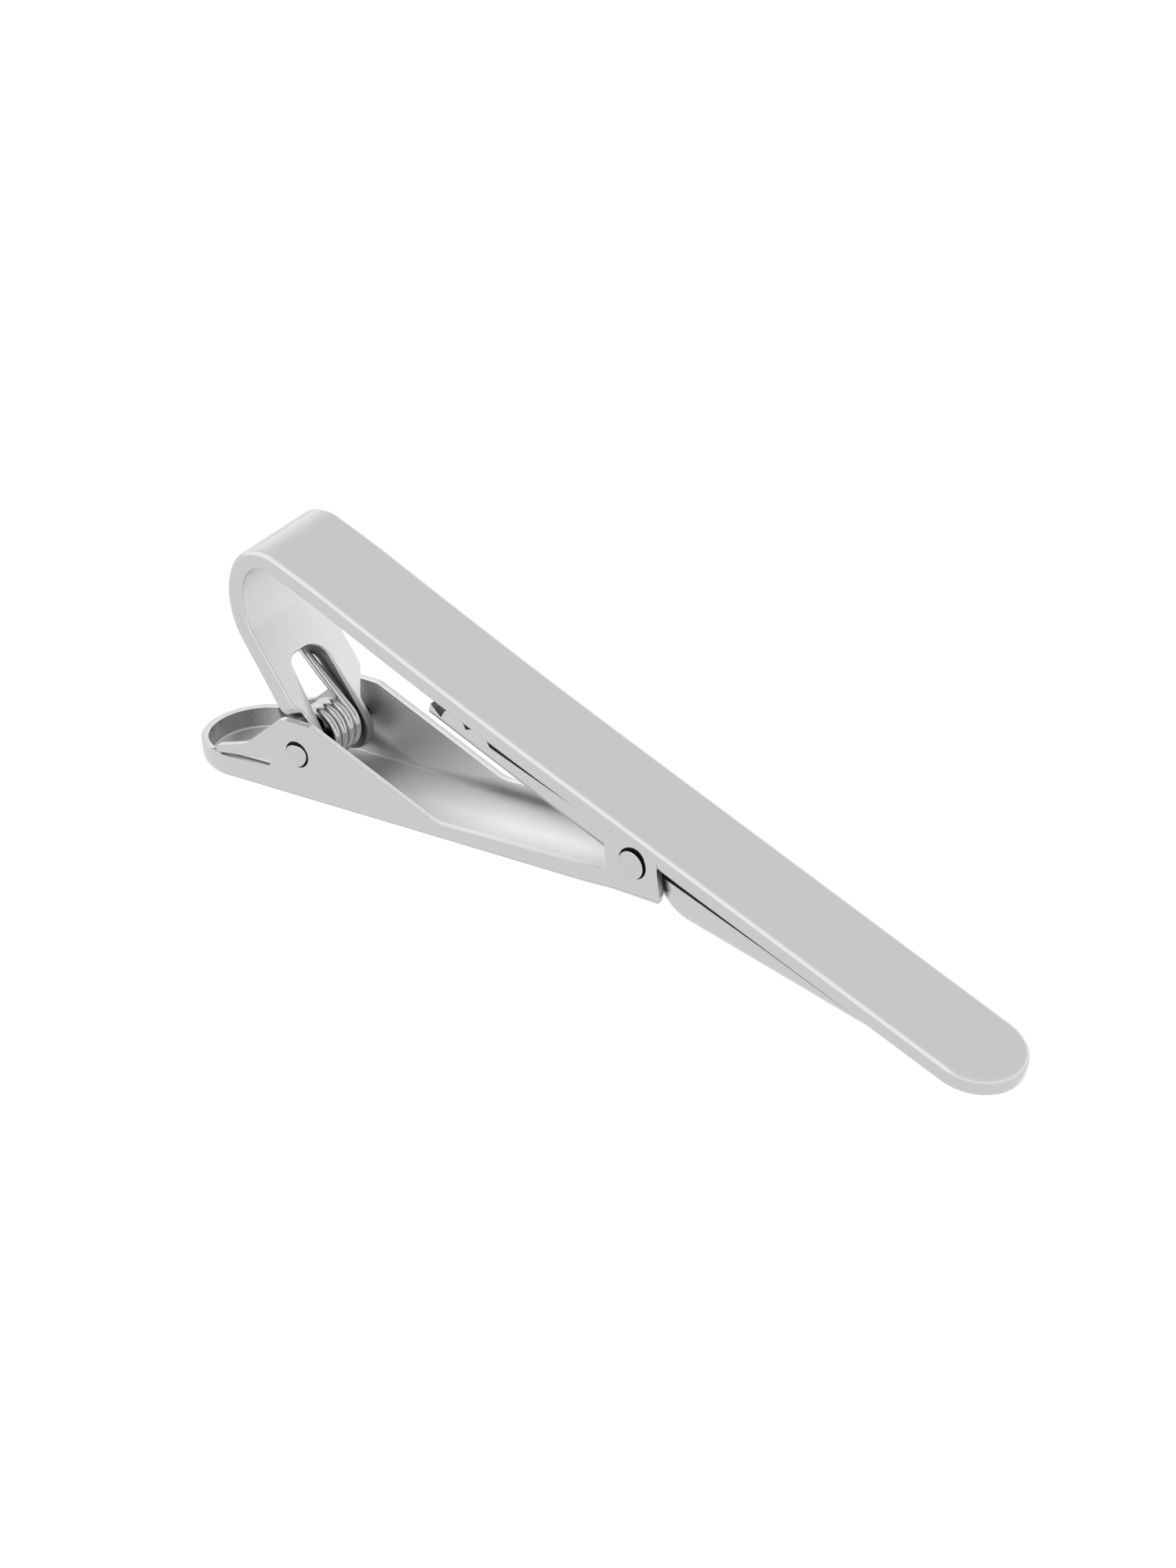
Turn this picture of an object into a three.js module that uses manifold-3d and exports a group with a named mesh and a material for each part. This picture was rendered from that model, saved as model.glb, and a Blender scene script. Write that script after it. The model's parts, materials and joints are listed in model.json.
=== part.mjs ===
// Tie clip with a sprung pinch clasp, in millimetres, +Z up, set down on its thumb pad and its tip.
// Each piece is drawn in its own frame: the bar's frame has x along the bar and z = 0 on its top face,
// the lever's has its origin on the rear pin and x along the floor, the jaw's is on the front pin.
import * as THREE from 'three';
import { mergeVertices } from 'three/addons/utils/BufferGeometryUtils.js';
import Module from 'manifold-3d';

// Front bar: one strip, folded into bar, bend, slotted leg and two knuckles
const BAR_LENGTH = 55.8; // outside of the bend to the tip
const BAR_WIDTH = 6;
const BAR_THICKNESS = 1.1;
const BEND_BAR_RADIUS = 2.5; // outside of the bend, where it leaves the bar
const BEND_LEG_RADIUS = 4.4; // outside of the bend, where it runs into the leg
const LEG_ANGLE = 35; // degrees between bar and leg
const LEG_LENGTH = 7.3; // straight leg, from the bend to the rear pin
const SLOT_START = 2.7; // end of the bend to the top of the slot
const SLOT_CORNER = 1; // radius at the top of the slot
const CURL_TURN = 280; // degrees that each tine curls round the rear pin

// Hinge pins: two rivets
const PIN_RADIUS = 0.42;
const PIN_HEAD_RADIUS = 0.9;
const PIN_HEAD_HEIGHT = 0.25;
const PIN_HEAD_BEVEL = 0.08;
const PIN_RUNNING_GAP = 0.06; // round a pin that a piece turns on
const PIN_SEAT_GAP = 0.03; // round a pin in the lever's ears, and under its heads

// Lever: one stamped channel
const LEVER_WIDTH = 6.4;
const LEVER_SHEET = 0.4;
const PIN_SPAN = 24.1; // rear pin to front pin, along the floor
const FRONT_PIN_DROP = 0.65; // front pin below the rear pin, square to the floor
const FLOOR_DROP = 2.95; // rear pin axis to the floor's outer face
const FLOOR_SETBACK = 1.8; // front pin back to the front end of the floor
const WALL_HEIGHT = 1.35; // low side walls, from the floor's outer face
const EAR_RISE = 2.1; // rear pin axis to the top of the tall ears
const EAR_TOP_FRONT = 1.2; // flat top of a tall ear, ahead of the pin
const EAR_TOP_BACK = 0.9; // and behind it
const EAR_SLOPE_END = 9.8; // rear pin forward to where a tall ear has sloped down to the low wall
const EAR_KNEE = 3.7; // rear pin back to where the rear slope of a tall ear flattens into its heel
const EAR_KNEE_DROP = 0.15; // and from the pin axis down to it
const EAR_HEEL = 5.7; // rear pin back to the end of the heel
const HEEL_HEIGHT = 0.3; // end of the heel, above the slit
const EAR_ROUNDING = 1.1;
const SHOULDER_GAP = 0.4; // tall ears to the shoulders of the leg, along the leg
const FRONT_EAR_REACH = 1.85; // front ears, ahead of the pin and behind it
const FRONT_EAR_GAP = 0.12; // front ears to the bar
const THUMB_REACH = 8.7; // rear pin back to the end of the thumb pad
const THUMB_LIP = 1.45; // raised lip, from the floor's outer face
const SLIT_HEIGHT = 0.25; // lanced slit between the lip and the heel of the ear
const SLIT_SETBACK = 2; // rear pin back to the front end of the slit
const SIDE_GAP = 0.25; // between the lever's walls and what turns inside them

// Jaw: one narrow channel with scalloped edges
const JAW_SHEET = 0.4;
const JAW_REAR = 15.5; // front pin back to the toothed end
const JAW_FRONT = 19; // front pin forward to the tip
const JAW_RISE = 0.64; // pin axis up to the tooth tips and the jaw's tip
const JAW_GAP = 0.15; // tooth tips to the bar when the clip is shut
const JAW_EDGE_RISE = 0.3; // pin axis up to the plain edges of the side walls
const JAW_REAR_DEPTH = 0.78; // pin axis down to the jaw's underside, at the toothed end
const JAW_BACK = 4; // front pin back to where the underside starts to deepen
const JAW_BACK_DEPTH = 1.06; // and its depth there
const JAW_KEEL = 3; // front pin forward to the deepest point
const JAW_KEEL_DEPTH = 1.95; // and its depth there
const JAW_EAR_REACH = 1.5; // raised edge round the pin, each way
const TOOTH_COUNT = 2;
const TOOTH_PITCH = 1.76;
const TOOTH_SETBACK = 1.76; // toothed end to the first tooth tip

// Torsion spring: one wire wound on the rear pin
const WIRE = 0.45;
const COIL_RADIUS = 1.35; // to the middle of the wire
const COIL_TURNS = 3; // whole turns, on top of the part turn between the arms
const TURN_GAP = 0.42; // between neighbouring turns
const COIL_SIDE_GAP = 0.15; // coil to the sides of the slot
const SPRING_GAP = 0.3; // arms to what they press on
const LEG_ARM_BEARING = 1.3; // stretch of arm on the leg, past the slot
const THUMB_ARM_REACH = 6; // rear pin back to the end of the other arm
const STEPS_PER_TURN = 8;
const WIRE_SIDES = 5;

// Fineness of round shapes
const ARC_STEPS = 15; // odd, so that each round end has a flat facet in the middle
const PIN_SIDES = 24;
const CURVE_STEPS = 6;
const CUT_MARGIN = 1; // how far a cutter stands past what it cuts
const WELD = 1e-5; // points closer than this are one point

// Finishes
const POLISHED = { color: 0xd6d6d9, roughness: 0.14, metalness: 1 };
const WIRE_STEEL = { color: 0x9a9da1, roughness: 0.25, metalness: 1 };

const wasm = await Module();
wasm.setup();

const radians = THREE.MathUtils.degToRad;

// Fits that follow from the sizes above
const runningRadius = PIN_RADIUS + PIN_RUNNING_GAP;
const seatRadius = PIN_RADIUS + PIN_SEAT_GAP;
const insideHalf = LEVER_WIDTH / 2 - LEVER_SHEET - SIDE_GAP;
const floorOut = -FLOOR_DROP;
const floorIn = floorOut + LEVER_SHEET;
const legTurn = Math.PI / 2 - radians(LEG_ANGLE);
const legDown = new THREE.Vector2(Math.cos(radians(LEG_ANGLE)), -Math.sin(radians(LEG_ANGLE)));
const legIn = new THREE.Vector2(-legDown.y, legDown.x);
const legStart = new THREE.Vector2(
  BEND_LEG_RADIUS * (1 - Math.cos(legTurn)),
  -BEND_BAR_RADIUS - BEND_LEG_RADIUS * Math.sin(legTurn),
);
const rearPin = alongLeg(LEG_LENGTH, -runningRadius);
const frontPinHeight = -BAR_THICKNESS - JAW_GAP - JAW_RISE;
const pinDistance = Math.hypot(PIN_SPAN, FRONT_PIN_DROP);
const leverAngle = Math.asin((frontPinHeight - rearPin.y) / pinDistance)
  + Math.atan2(FRONT_PIN_DROP, PIN_SPAN);

// A point of the bar's side view, from the end of the bend along the leg, and in from its outer face
function alongLeg(down, inward) {
  return legStart.clone().addScaledVector(legDown, down).addScaledVector(legIn, inward);
}

// Points on an arc in the plane, with the end angles included
function arc(centre, radius, from, to, steps = ARC_STEPS) {
  const points = [];
  for (let i = 0; i <= steps; i += 1) {
    const angle = from + (to - from) * (i / steps);
    points.push(new THREE.Vector2(
      centre.x + radius * Math.cos(angle),
      centre.y + radius * Math.sin(angle),
    ));
  }
  return points;
}

const point = (x, y) => new THREE.Vector2(x, y);

// Turns a closed geometry into a solid that can be joined and cut
function solid(geometry) {
  const bare = geometry.clone();
  bare.deleteAttribute('normal');
  bare.deleteAttribute('uv');
  const merged = mergeVertices(bare, WELD);
  return new wasm.Manifold(new wasm.Mesh({
    numProp: 3,
    vertProperties: new Float32Array(merged.attributes.position.array),
    triVerts: new Uint32Array(merged.index.array),
  }));
}

function geometryOf(shape) {
  const mesh = shape.getMesh();
  const geometry = new THREE.BufferGeometry();
  geometry.setAttribute('position', new THREE.BufferAttribute(mesh.vertProperties, 3));
  geometry.setIndex(new THREE.BufferAttribute(mesh.triVerts, 1));
  geometry.computeVertexNormals();
  return geometry;
}

// A side view in x and z, carried across from low y to high y
function across(outline, low, high) {
  const geometry = new THREE.ExtrudeGeometry(outline, {
    depth: high - low,
    bevelEnabled: false,
    curveSegments: CURVE_STEPS,
  });
  geometry.rotateX(Math.PI / 2);
  geometry.translate(0, high, 0);
  return solid(geometry);
}

// A plan in x and y, raised from low z to high z, and then placed by a matrix
function upright(outline, low, high, placing = new THREE.Matrix4()) {
  const geometry = new THREE.ExtrudeGeometry(outline, {
    depth: high - low,
    bevelEnabled: false,
    curveSegments: CURVE_STEPS,
  });
  geometry.translate(0, 0, low);
  geometry.applyMatrix4(placing);
  return solid(geometry);
}

// A closed outline whose corners, given as [x, y, radius], are rounded where they ask for it
function roundedOutline(corners) {
  const outline = new THREE.Shape();
  corners.forEach(([x, y, radius = 0], i) => {
    const corner = point(x, y);
    const before = point(...corners.at(i - 1));
    const after = point(...corners[(i + 1) % corners.length]);
    const cut = Math.min(radius, corner.distanceTo(before) / 2, corner.distanceTo(after) / 2);
    const start = corner.clone().add(before.sub(corner).setLength(cut));
    const end = corner.clone().add(after.sub(corner).setLength(cut));
    if (i === 0) outline.moveTo(start.x, start.y);
    else outline.lineTo(start.x, start.y);
    if (cut > 0) outline.quadraticCurveTo(x, y, end.x, end.y);
  });
  return outline;
}

function roundHole(x, y, radius) {
  return new THREE.Path(arc(point(x, y), radius, 0, 2 * Math.PI, PIN_SIDES));
}

// What to cut from a strip of this half width so that it ends in a half circle at x = end
function roundTipCutter(end, half, low, high) {
  const outer = end + CUT_MARGIN;
  const side = half + CUT_MARGIN;
  const centre = end - half;
  return upright(new THREE.Shape([
    ...arc(point(centre, 0), half, -Math.PI / 2, Math.PI / 2),
    point(centre, side),
    point(outer, side),
    point(outer, -side),
    point(centre, -side),
  ]), low, high);
}

// The wire's path in the bar's frame: leg arm, coil, thumb arm
const coilPitch = WIRE + TURN_GAP;
const leverDirection = (x, z) => point(x, z).rotateAround(point(0, 0), leverAngle);
const legArmDepth = runningRadius - SPRING_GAP - WIRE / 2;
const legArmKnee = alongLeg(SLOT_START + SLOT_CORNER, legArmDepth - runningRadius).sub(rearPin);
const legArmEnd = alongLeg(SLOT_START - LEG_ARM_BEARING, legArmDepth - runningRadius).sub(rearPin);
const thumbArmEnd = leverDirection(-THUMB_ARM_REACH, floorIn + SPRING_GAP + WIRE / 2);
const coilStart = legArmKnee.angle() - Math.acos(COIL_RADIUS / legArmKnee.length());
const coilEnd = thumbArmEnd.angle() + Math.acos(COIL_RADIUS / thumbArmEnd.length())
  - 2 * Math.PI * (COIL_TURNS + 1);
const coilTurns = (coilStart - coilEnd) / (2 * Math.PI);
const coilHalf = coilTurns * coilPitch / 2;
const slotHalf = coilHalf + WIRE / 2 + COIL_SIDE_GAP;

function wirePath() {
  const path = [
    new THREE.Vector3(legArmEnd.x, coilHalf, legArmEnd.y),
    new THREE.Vector3(legArmKnee.x, coilHalf, legArmKnee.y),
  ];
  const steps = Math.ceil(coilTurns * STEPS_PER_TURN);
  for (let i = 0; i <= steps; i += 1) {
    const angle = coilStart + (coilEnd - coilStart) * (i / steps);
    path.push(new THREE.Vector3(
      COIL_RADIUS * Math.cos(angle),
      coilHalf - 2 * coilHalf * (i / steps),
      COIL_RADIUS * Math.sin(angle),
    ));
  }
  path.push(new THREE.Vector3(thumbArmEnd.x, -coilHalf, thumbArmEnd.y));
  return path;
}

// Least gap of the wire to itself, between points of the path that lie over half a turn apart
function leastGap(path) {
  const apart = STEPS_PER_TURN / 2;
  let least = Infinity;
  path.forEach((p, i) => {
    path.slice(i + apart + 1).forEach((q) => {
      least = Math.min(least, p.distanceTo(q) - WIRE);
    });
  });
  return least;
}

// One closed tube through the points, with a ring of sides at each and flat ends
function wireTube(path) {
  const positions = [];
  const index = [];
  const sideways = new THREE.Vector3(0, 1, 0);
  path.forEach((p, i) => {
    const before = path[Math.max(i - 1, 0)];
    const after = path[Math.min(i + 1, path.length - 1)];
    const along = after.clone().sub(before).normalize();
    const outward = new THREE.Vector3().crossVectors(along, sideways).normalize();
    const beside = new THREE.Vector3().crossVectors(outward, along);
    for (let k = 0; k < WIRE_SIDES; k += 1) {
      const angle = 2 * Math.PI * (k / WIRE_SIDES);
      const rim = p.clone()
        .addScaledVector(outward, WIRE / 2 * Math.cos(angle))
        .addScaledVector(beside, WIRE / 2 * Math.sin(angle));
      positions.push(rim.x, rim.y, rim.z);
    }
  });
  for (let i = 0; i < path.length - 1; i += 1) {
    for (let k = 0; k < WIRE_SIDES; k += 1) {
      const a = i * WIRE_SIDES + k;
      const b = i * WIRE_SIDES + (k + 1) % WIRE_SIDES;
      index.push(a, a + WIRE_SIDES, b, b, a + WIRE_SIDES, b + WIRE_SIDES);
    }
  }
  const last = (path.length - 1) * WIRE_SIDES;
  for (let k = 1; k < WIRE_SIDES - 1; k += 1) {
    index.push(0, k, k + 1);
    index.push(last, last + k + 1, last + k);
  }
  const geometry = new THREE.BufferGeometry();
  geometry.setAttribute('position', new THREE.Float32BufferAttribute(positions, 3));
  geometry.setIndex(index);
  geometry.computeVertexNormals();
  return geometry;
}

// Side view of the whole strip: top face, bend, leg, curl, and back along the other face
function stripOutline() {
  const barCentre = point(BEND_BAR_RADIUS, -BEND_BAR_RADIUS);
  const legCentre = point(BEND_LEG_RADIUS, -BEND_BAR_RADIUS);
  const curlStart = legIn.angle();
  const curlEnd = curlStart - radians(CURL_TURN);
  const inside = (radius) => radius - BAR_THICKNESS;
  return new THREE.Shape([
    point(BAR_LENGTH, 0),
    ...arc(barCentre, BEND_BAR_RADIUS, Math.PI / 2, Math.PI),
    ...arc(legCentre, BEND_LEG_RADIUS, Math.PI, Math.PI + legTurn).slice(1),
    ...arc(rearPin, runningRadius, curlStart, curlEnd, PIN_SIDES),
    ...arc(rearPin, runningRadius + BAR_THICKNESS, curlEnd, curlStart, PIN_SIDES),
    ...arc(legCentre, inside(BEND_LEG_RADIUS), Math.PI + legTurn, Math.PI),
    ...arc(barCentre, inside(BEND_BAR_RADIUS), Math.PI, Math.PI / 2).slice(1),
    point(BAR_LENGTH, -BAR_THICKNESS),
  ]);
}

function frontBar() {
  const knuckleReach = 2 * runningRadius + BAR_THICKNESS;
  const legEnd = LEG_LENGTH + knuckleReach + CUT_MARGIN;
  const shoulder = LEG_LENGTH - EAR_RISE - SHOULDER_GAP;
  const sideOut = BAR_WIDTH / 2 + CUT_MARGIN;
  const onLeg = new THREE.Matrix4().makeBasis(
    new THREE.Vector3(legDown.x, 0, legDown.y),
    new THREE.Vector3(0, 1, 0),
    new THREE.Vector3(legIn.x, 0, legIn.y),
  ).setPosition(legStart.x, 0, legStart.y);
  const throughLeg = (outline) => upright(
    outline,
    -knuckleReach - CUT_MARGIN,
    BAR_THICKNESS + CUT_MARGIN,
    onLeg,
  );
  const slot = throughLeg(roundedOutline([
    [SLOT_START, -slotHalf, SLOT_CORNER],
    [legEnd, -slotHalf],
    [legEnd, slotHalf],
    [SLOT_START, slotHalf, SLOT_CORNER],
  ]));
  let bar = across(stripOutline(), -BAR_WIDTH / 2, BAR_WIDTH / 2)
    .subtract(roundTipCutter(BAR_LENGTH, BAR_WIDTH / 2, -BAR_THICKNESS - CUT_MARGIN, CUT_MARGIN))
    .subtract(slot);
  for (const side of [-1, 1]) {
    bar = bar.subtract(throughLeg(new THREE.Shape([
      point(shoulder, side * sideOut),
      point(shoulder, side * insideHalf),
      point(legEnd, side * insideHalf),
      point(legEnd, side * sideOut),
    ])));
  }
  return geometryOf(bar);
}

// Side view of one lever wall, with the heel of the tall ear standing clear of the thumb pad's lip
function wallOutline() {
  const wallTop = floorOut + WALL_HEIGHT;
  const slitTop = floorOut + THUMB_LIP + SLIT_HEIGHT;
  const earFront = PIN_SPAN + FRONT_EAR_REACH;
  const earBack = PIN_SPAN - FRONT_EAR_REACH;
  const earRise = JAW_RISE + JAW_GAP - FRONT_EAR_GAP;
  const underBar = (x) => {
    const above = (earRise - (x - PIN_SPAN) * Math.sin(leverAngle)) / Math.cos(leverAngle);
    return above - FRONT_PIN_DROP;
  };
  const outline = roundedOutline([
    [-SLIT_SETBACK, floorOut],
    [earFront, floorOut],
    [earFront, underBar(earFront), LEVER_SHEET],
    [earBack, underBar(earBack), EAR_ROUNDING],
    [earBack, wallTop, LEVER_SHEET],
    [EAR_SLOPE_END, wallTop, EAR_ROUNDING],
    [EAR_TOP_FRONT, EAR_RISE, EAR_ROUNDING],
    [-EAR_TOP_BACK, EAR_RISE, EAR_ROUNDING],
    [-EAR_KNEE, -EAR_KNEE_DROP, EAR_ROUNDING],
    [-EAR_HEEL, slitTop + HEEL_HEIGHT, HEEL_HEIGHT],
    [-EAR_HEEL, slitTop],
    [-SLIT_SETBACK, slitTop],
  ]);
  outline.holes.push(roundHole(0, 0, seatRadius));
  outline.holes.push(roundHole(PIN_SPAN, -FRONT_PIN_DROP, seatRadius));
  return outline;
}

function clipLever() {
  const half = LEVER_WIDTH / 2;
  const inner = half - LEVER_SHEET;
  const thumbCentre = point(half - THUMB_REACH, 0);
  const floorFront = PIN_SPAN - FLOOR_SETBACK;
  const lipFront = -SLIT_SETBACK + LEVER_SHEET;
  const thumbEnd = (radius) => arc(thumbCentre, radius, Math.PI / 2, 1.5 * Math.PI);
  const floor = upright(new THREE.Shape([
    point(floorFront, half),
    ...thumbEnd(half),
    point(floorFront, -half),
  ]), floorOut, floorIn);
  const lip = upright(new THREE.Shape([
    point(lipFront, half),
    ...thumbEnd(half),
    point(lipFront, -half),
    point(lipFront, -inner),
    ...thumbEnd(inner).reverse(),
    point(lipFront, inner),
  ]), floorOut, floorOut + THUMB_LIP);
  const wall = wallOutline();
  return geometryOf(floor.add(lip)
    .add(across(wall, -half, -inner))
    .add(across(wall, inner, half)));
}

// Underside of the jaw's channel, from the toothed end to the tip
function keel() {
  return [
    point(-JAW_REAR, -JAW_REAR_DEPTH),
    point(-JAW_BACK, -JAW_BACK_DEPTH),
    point(JAW_KEEL, -JAW_KEEL_DEPTH),
    point(JAW_FRONT, JAW_RISE - JAW_SHEET),
  ];
}

// Side view of one jaw wall: keel, tip, plain edge, raised edge round the pin, teeth
function jawWallOutline() {
  const edge = JAW_EDGE_RISE;
  const rounding = (JAW_RISE - edge) / 2;
  const foot = JAW_EAR_REACH + rounding;
  const brow = JAW_EAR_REACH - rounding;
  const outline = new THREE.Shape(keel());
  outline.lineTo(JAW_FRONT, JAW_RISE);
  outline.lineTo(foot, edge);
  outline.quadraticCurveTo(JAW_EAR_REACH, edge, JAW_EAR_REACH, edge + rounding);
  outline.quadraticCurveTo(JAW_EAR_REACH, JAW_RISE, brow, JAW_RISE);
  outline.lineTo(-brow, JAW_RISE);
  outline.quadraticCurveTo(-JAW_EAR_REACH, JAW_RISE, -JAW_EAR_REACH, edge + rounding);
  outline.quadraticCurveTo(-JAW_EAR_REACH, edge, -foot, edge);
  for (let tooth = TOOTH_COUNT - 1; tooth >= 0; tooth -= 1) {
    const tip = -JAW_REAR + TOOTH_SETBACK + tooth * TOOTH_PITCH;
    outline.lineTo(tip + TOOTH_PITCH / 2, edge);
    outline.quadraticCurveTo(tip + TOOTH_PITCH / 4, JAW_RISE, tip, JAW_RISE);
    outline.quadraticCurveTo(tip - TOOTH_PITCH / 4, JAW_RISE, tip - TOOTH_PITCH / 2, edge);
  }
  outline.lineTo(-JAW_REAR, edge);
  outline.holes.push(roundHole(0, 0, runningRadius));
  return outline;
}

function gripJaw() {
  const inner = insideHalf - JAW_SHEET;
  const underside = keel();
  const web = new THREE.Shape([
    ...underside,
    ...underside.map(({ x, y }) => point(x, y + JAW_SHEET)).reverse(),
  ]);
  const wall = jawWallOutline();
  const below = -JAW_KEEL_DEPTH - CUT_MARGIN;
  const above = JAW_RISE + CUT_MARGIN;
  return geometryOf(across(web, -insideHalf, insideHalf)
    .add(across(wall, -insideHalf, -inner))
    .add(across(wall, inner, insideHalf))
    .subtract(roundTipCutter(JAW_FRONT, insideHalf, below, above)));
}

// A rivet along y, with a bevelled head on each of the lever's outer faces
function hingePin() {
  const seat = LEVER_WIDTH / 2 + PIN_SEAT_GAP;
  const top = seat + PIN_HEAD_HEIGHT;
  const half = [
    point(PIN_RADIUS, seat),
    point(PIN_HEAD_RADIUS, seat),
    point(PIN_HEAD_RADIUS, top - PIN_HEAD_BEVEL),
    point(PIN_HEAD_RADIUS - PIN_HEAD_BEVEL, top),
    point(0, top),
  ];
  const otherHalf = half.map(({ x, y }) => point(x, -y)).reverse();
  return new THREE.LatheGeometry([...otherHalf, ...half], PIN_SIDES);
}

function torsionSpring() {
  const path = wirePath();
  const gap = leastGap(path).toFixed(3);
  console.log(`torsion_spring: ${coilTurns.toFixed(2)} turns, least gap to itself ${gap} mm`);
  return wireTube(path);
}

function piece(name, geometry, finish) {
  const mesh = new THREE.Mesh(geometry, new THREE.MeshStandardMaterial(finish));
  mesh.name = name;
  return mesh;
}

const jaw = new THREE.Group();
jaw.position.set(PIN_SPAN, 0, -FRONT_PIN_DROP);
jaw.rotation.y = leverAngle;
jaw.add(piece('grip_jaw', gripJaw(), POLISHED));

const frontPin = piece('front_hinge_pin', hingePin(), POLISHED);
frontPin.position.copy(jaw.position);

const lever = new THREE.Group();
lever.position.set(rearPin.x, 0, rearPin.y);
lever.rotation.y = -leverAngle;
lever.add(piece('clip_lever', clipLever(), POLISHED));
lever.add(piece('rear_hinge_pin', hingePin(), POLISHED));
lever.add(frontPin, jaw);

const spring = piece('torsion_spring', torsionSpring(), WIRE_STEEL);
spring.position.copy(lever.position);

// Set down: the end of the thumb pad and the underside of the tip come level, and the box is centred
const thumbContact = leverDirection(-THUMB_REACH, floorOut).add(rearPin);
const tieClip = new THREE.Group();
tieClip.add(piece('front_bar', frontBar(), POLISHED), lever, spring);
tieClip.rotation.y = Math.atan2(-BAR_THICKNESS - thumbContact.y, BAR_LENGTH - thumbContact.x);
tieClip.updateMatrixWorld(true);
const box = new THREE.Box3().setFromObject(tieClip, true);
const middle = box.getCenter(new THREE.Vector3());
tieClip.position.set(-middle.x, -middle.y, -box.min.z);

export default tieClip;
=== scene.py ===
# %% [markdown]
# # A polished tie clip with a pinch clasp
# The clip is a strip of bright metal folded into a hairpin. Behind the bar sits a small sprung clasp: a
# stamped lever on a rivet, a toothed jaw on a second rivet, and a wound spring between lever and leg.
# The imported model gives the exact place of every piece. This lesson redraws each piece over it with the
# soft edges, bends and finishes that make metal look like metal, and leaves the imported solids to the
# physics.

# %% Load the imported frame
import json
import math

import bmesh
import bpy
from mathutils import Matrix, Vector
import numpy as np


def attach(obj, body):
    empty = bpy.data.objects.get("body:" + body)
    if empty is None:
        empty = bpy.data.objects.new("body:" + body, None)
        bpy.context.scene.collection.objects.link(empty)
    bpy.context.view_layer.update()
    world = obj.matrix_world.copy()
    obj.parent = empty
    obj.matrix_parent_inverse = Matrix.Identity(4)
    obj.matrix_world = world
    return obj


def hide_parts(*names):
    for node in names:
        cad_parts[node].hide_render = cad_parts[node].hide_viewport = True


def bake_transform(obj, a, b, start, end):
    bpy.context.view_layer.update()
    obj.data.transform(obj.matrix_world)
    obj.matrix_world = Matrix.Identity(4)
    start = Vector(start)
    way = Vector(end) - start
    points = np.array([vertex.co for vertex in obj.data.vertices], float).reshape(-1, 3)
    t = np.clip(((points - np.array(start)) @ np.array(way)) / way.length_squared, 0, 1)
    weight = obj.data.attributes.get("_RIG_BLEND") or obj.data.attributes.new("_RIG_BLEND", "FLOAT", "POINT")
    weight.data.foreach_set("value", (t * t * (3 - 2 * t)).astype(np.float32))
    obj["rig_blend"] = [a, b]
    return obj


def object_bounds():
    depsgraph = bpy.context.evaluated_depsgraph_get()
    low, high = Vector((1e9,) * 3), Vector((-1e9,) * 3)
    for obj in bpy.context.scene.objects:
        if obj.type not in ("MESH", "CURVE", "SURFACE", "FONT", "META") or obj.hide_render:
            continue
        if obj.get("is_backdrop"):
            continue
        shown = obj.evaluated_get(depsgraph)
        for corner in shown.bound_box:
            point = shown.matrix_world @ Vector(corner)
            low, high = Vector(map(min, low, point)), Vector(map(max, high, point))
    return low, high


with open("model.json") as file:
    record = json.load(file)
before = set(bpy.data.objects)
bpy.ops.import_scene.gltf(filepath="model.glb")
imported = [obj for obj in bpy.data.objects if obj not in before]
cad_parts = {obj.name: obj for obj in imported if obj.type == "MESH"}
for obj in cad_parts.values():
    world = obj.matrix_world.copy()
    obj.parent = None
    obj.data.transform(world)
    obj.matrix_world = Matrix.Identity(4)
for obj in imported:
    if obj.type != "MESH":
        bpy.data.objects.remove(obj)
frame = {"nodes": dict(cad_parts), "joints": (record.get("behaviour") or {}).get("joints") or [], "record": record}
cad_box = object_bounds()
print("nodes:", ", ".join(sorted(frame["nodes"])))

# %% [markdown]
# ## One side view for each piece
# Sheet metal is easiest to draw from the side, with x along the piece and z up, in millimetres. Each
# piece gets its own side view: the bar's starts at the outside of the bend with z = 0 on the top face,
# the lever's sits on the rear rivet with x along its floor, and the jaw's sits on the front rivet. A
# matrix carries a side view into the frame. It could be typed in as numbers, but it is worked out from
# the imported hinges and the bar's face, so the drawing follows the model.

# %% Side views from the frame
MM = 0.001
FACE_POINT = 28.0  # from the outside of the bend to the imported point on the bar's face
PIN_DROP = 0.65  # front rivet below the rear one, square to the lever's floor

ACROSS = Vector((0, 1, 0))
mounts = {mount["name"]: mount for mount in frame["record"]["mounts"]}
hinges = {joint["name"]: Vector(joint["pos_m"]) for joint in frame["joints"]}
rear_pin = hinges["lever_hinge"]
front_pin = hinges["jaw_pivot"]


def side_view(origin, x_axis):
    """The matrix from a side view in millimetres to the frame in metres."""
    turn = Matrix((x_axis, ACROSS, x_axis.cross(ACROSS))).transposed().to_4x4()
    return Matrix.Translation(origin) @ turn @ Matrix.Scale(MM, 4)


face_point = Vector(mounts["bar_face"]["pos_m"])
bar_x = ACROSS.cross(Vector(mounts["bar_face"]["axis"]))
bar_view = side_view(face_point - bar_x * FACE_POINT * MM, bar_x)

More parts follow.
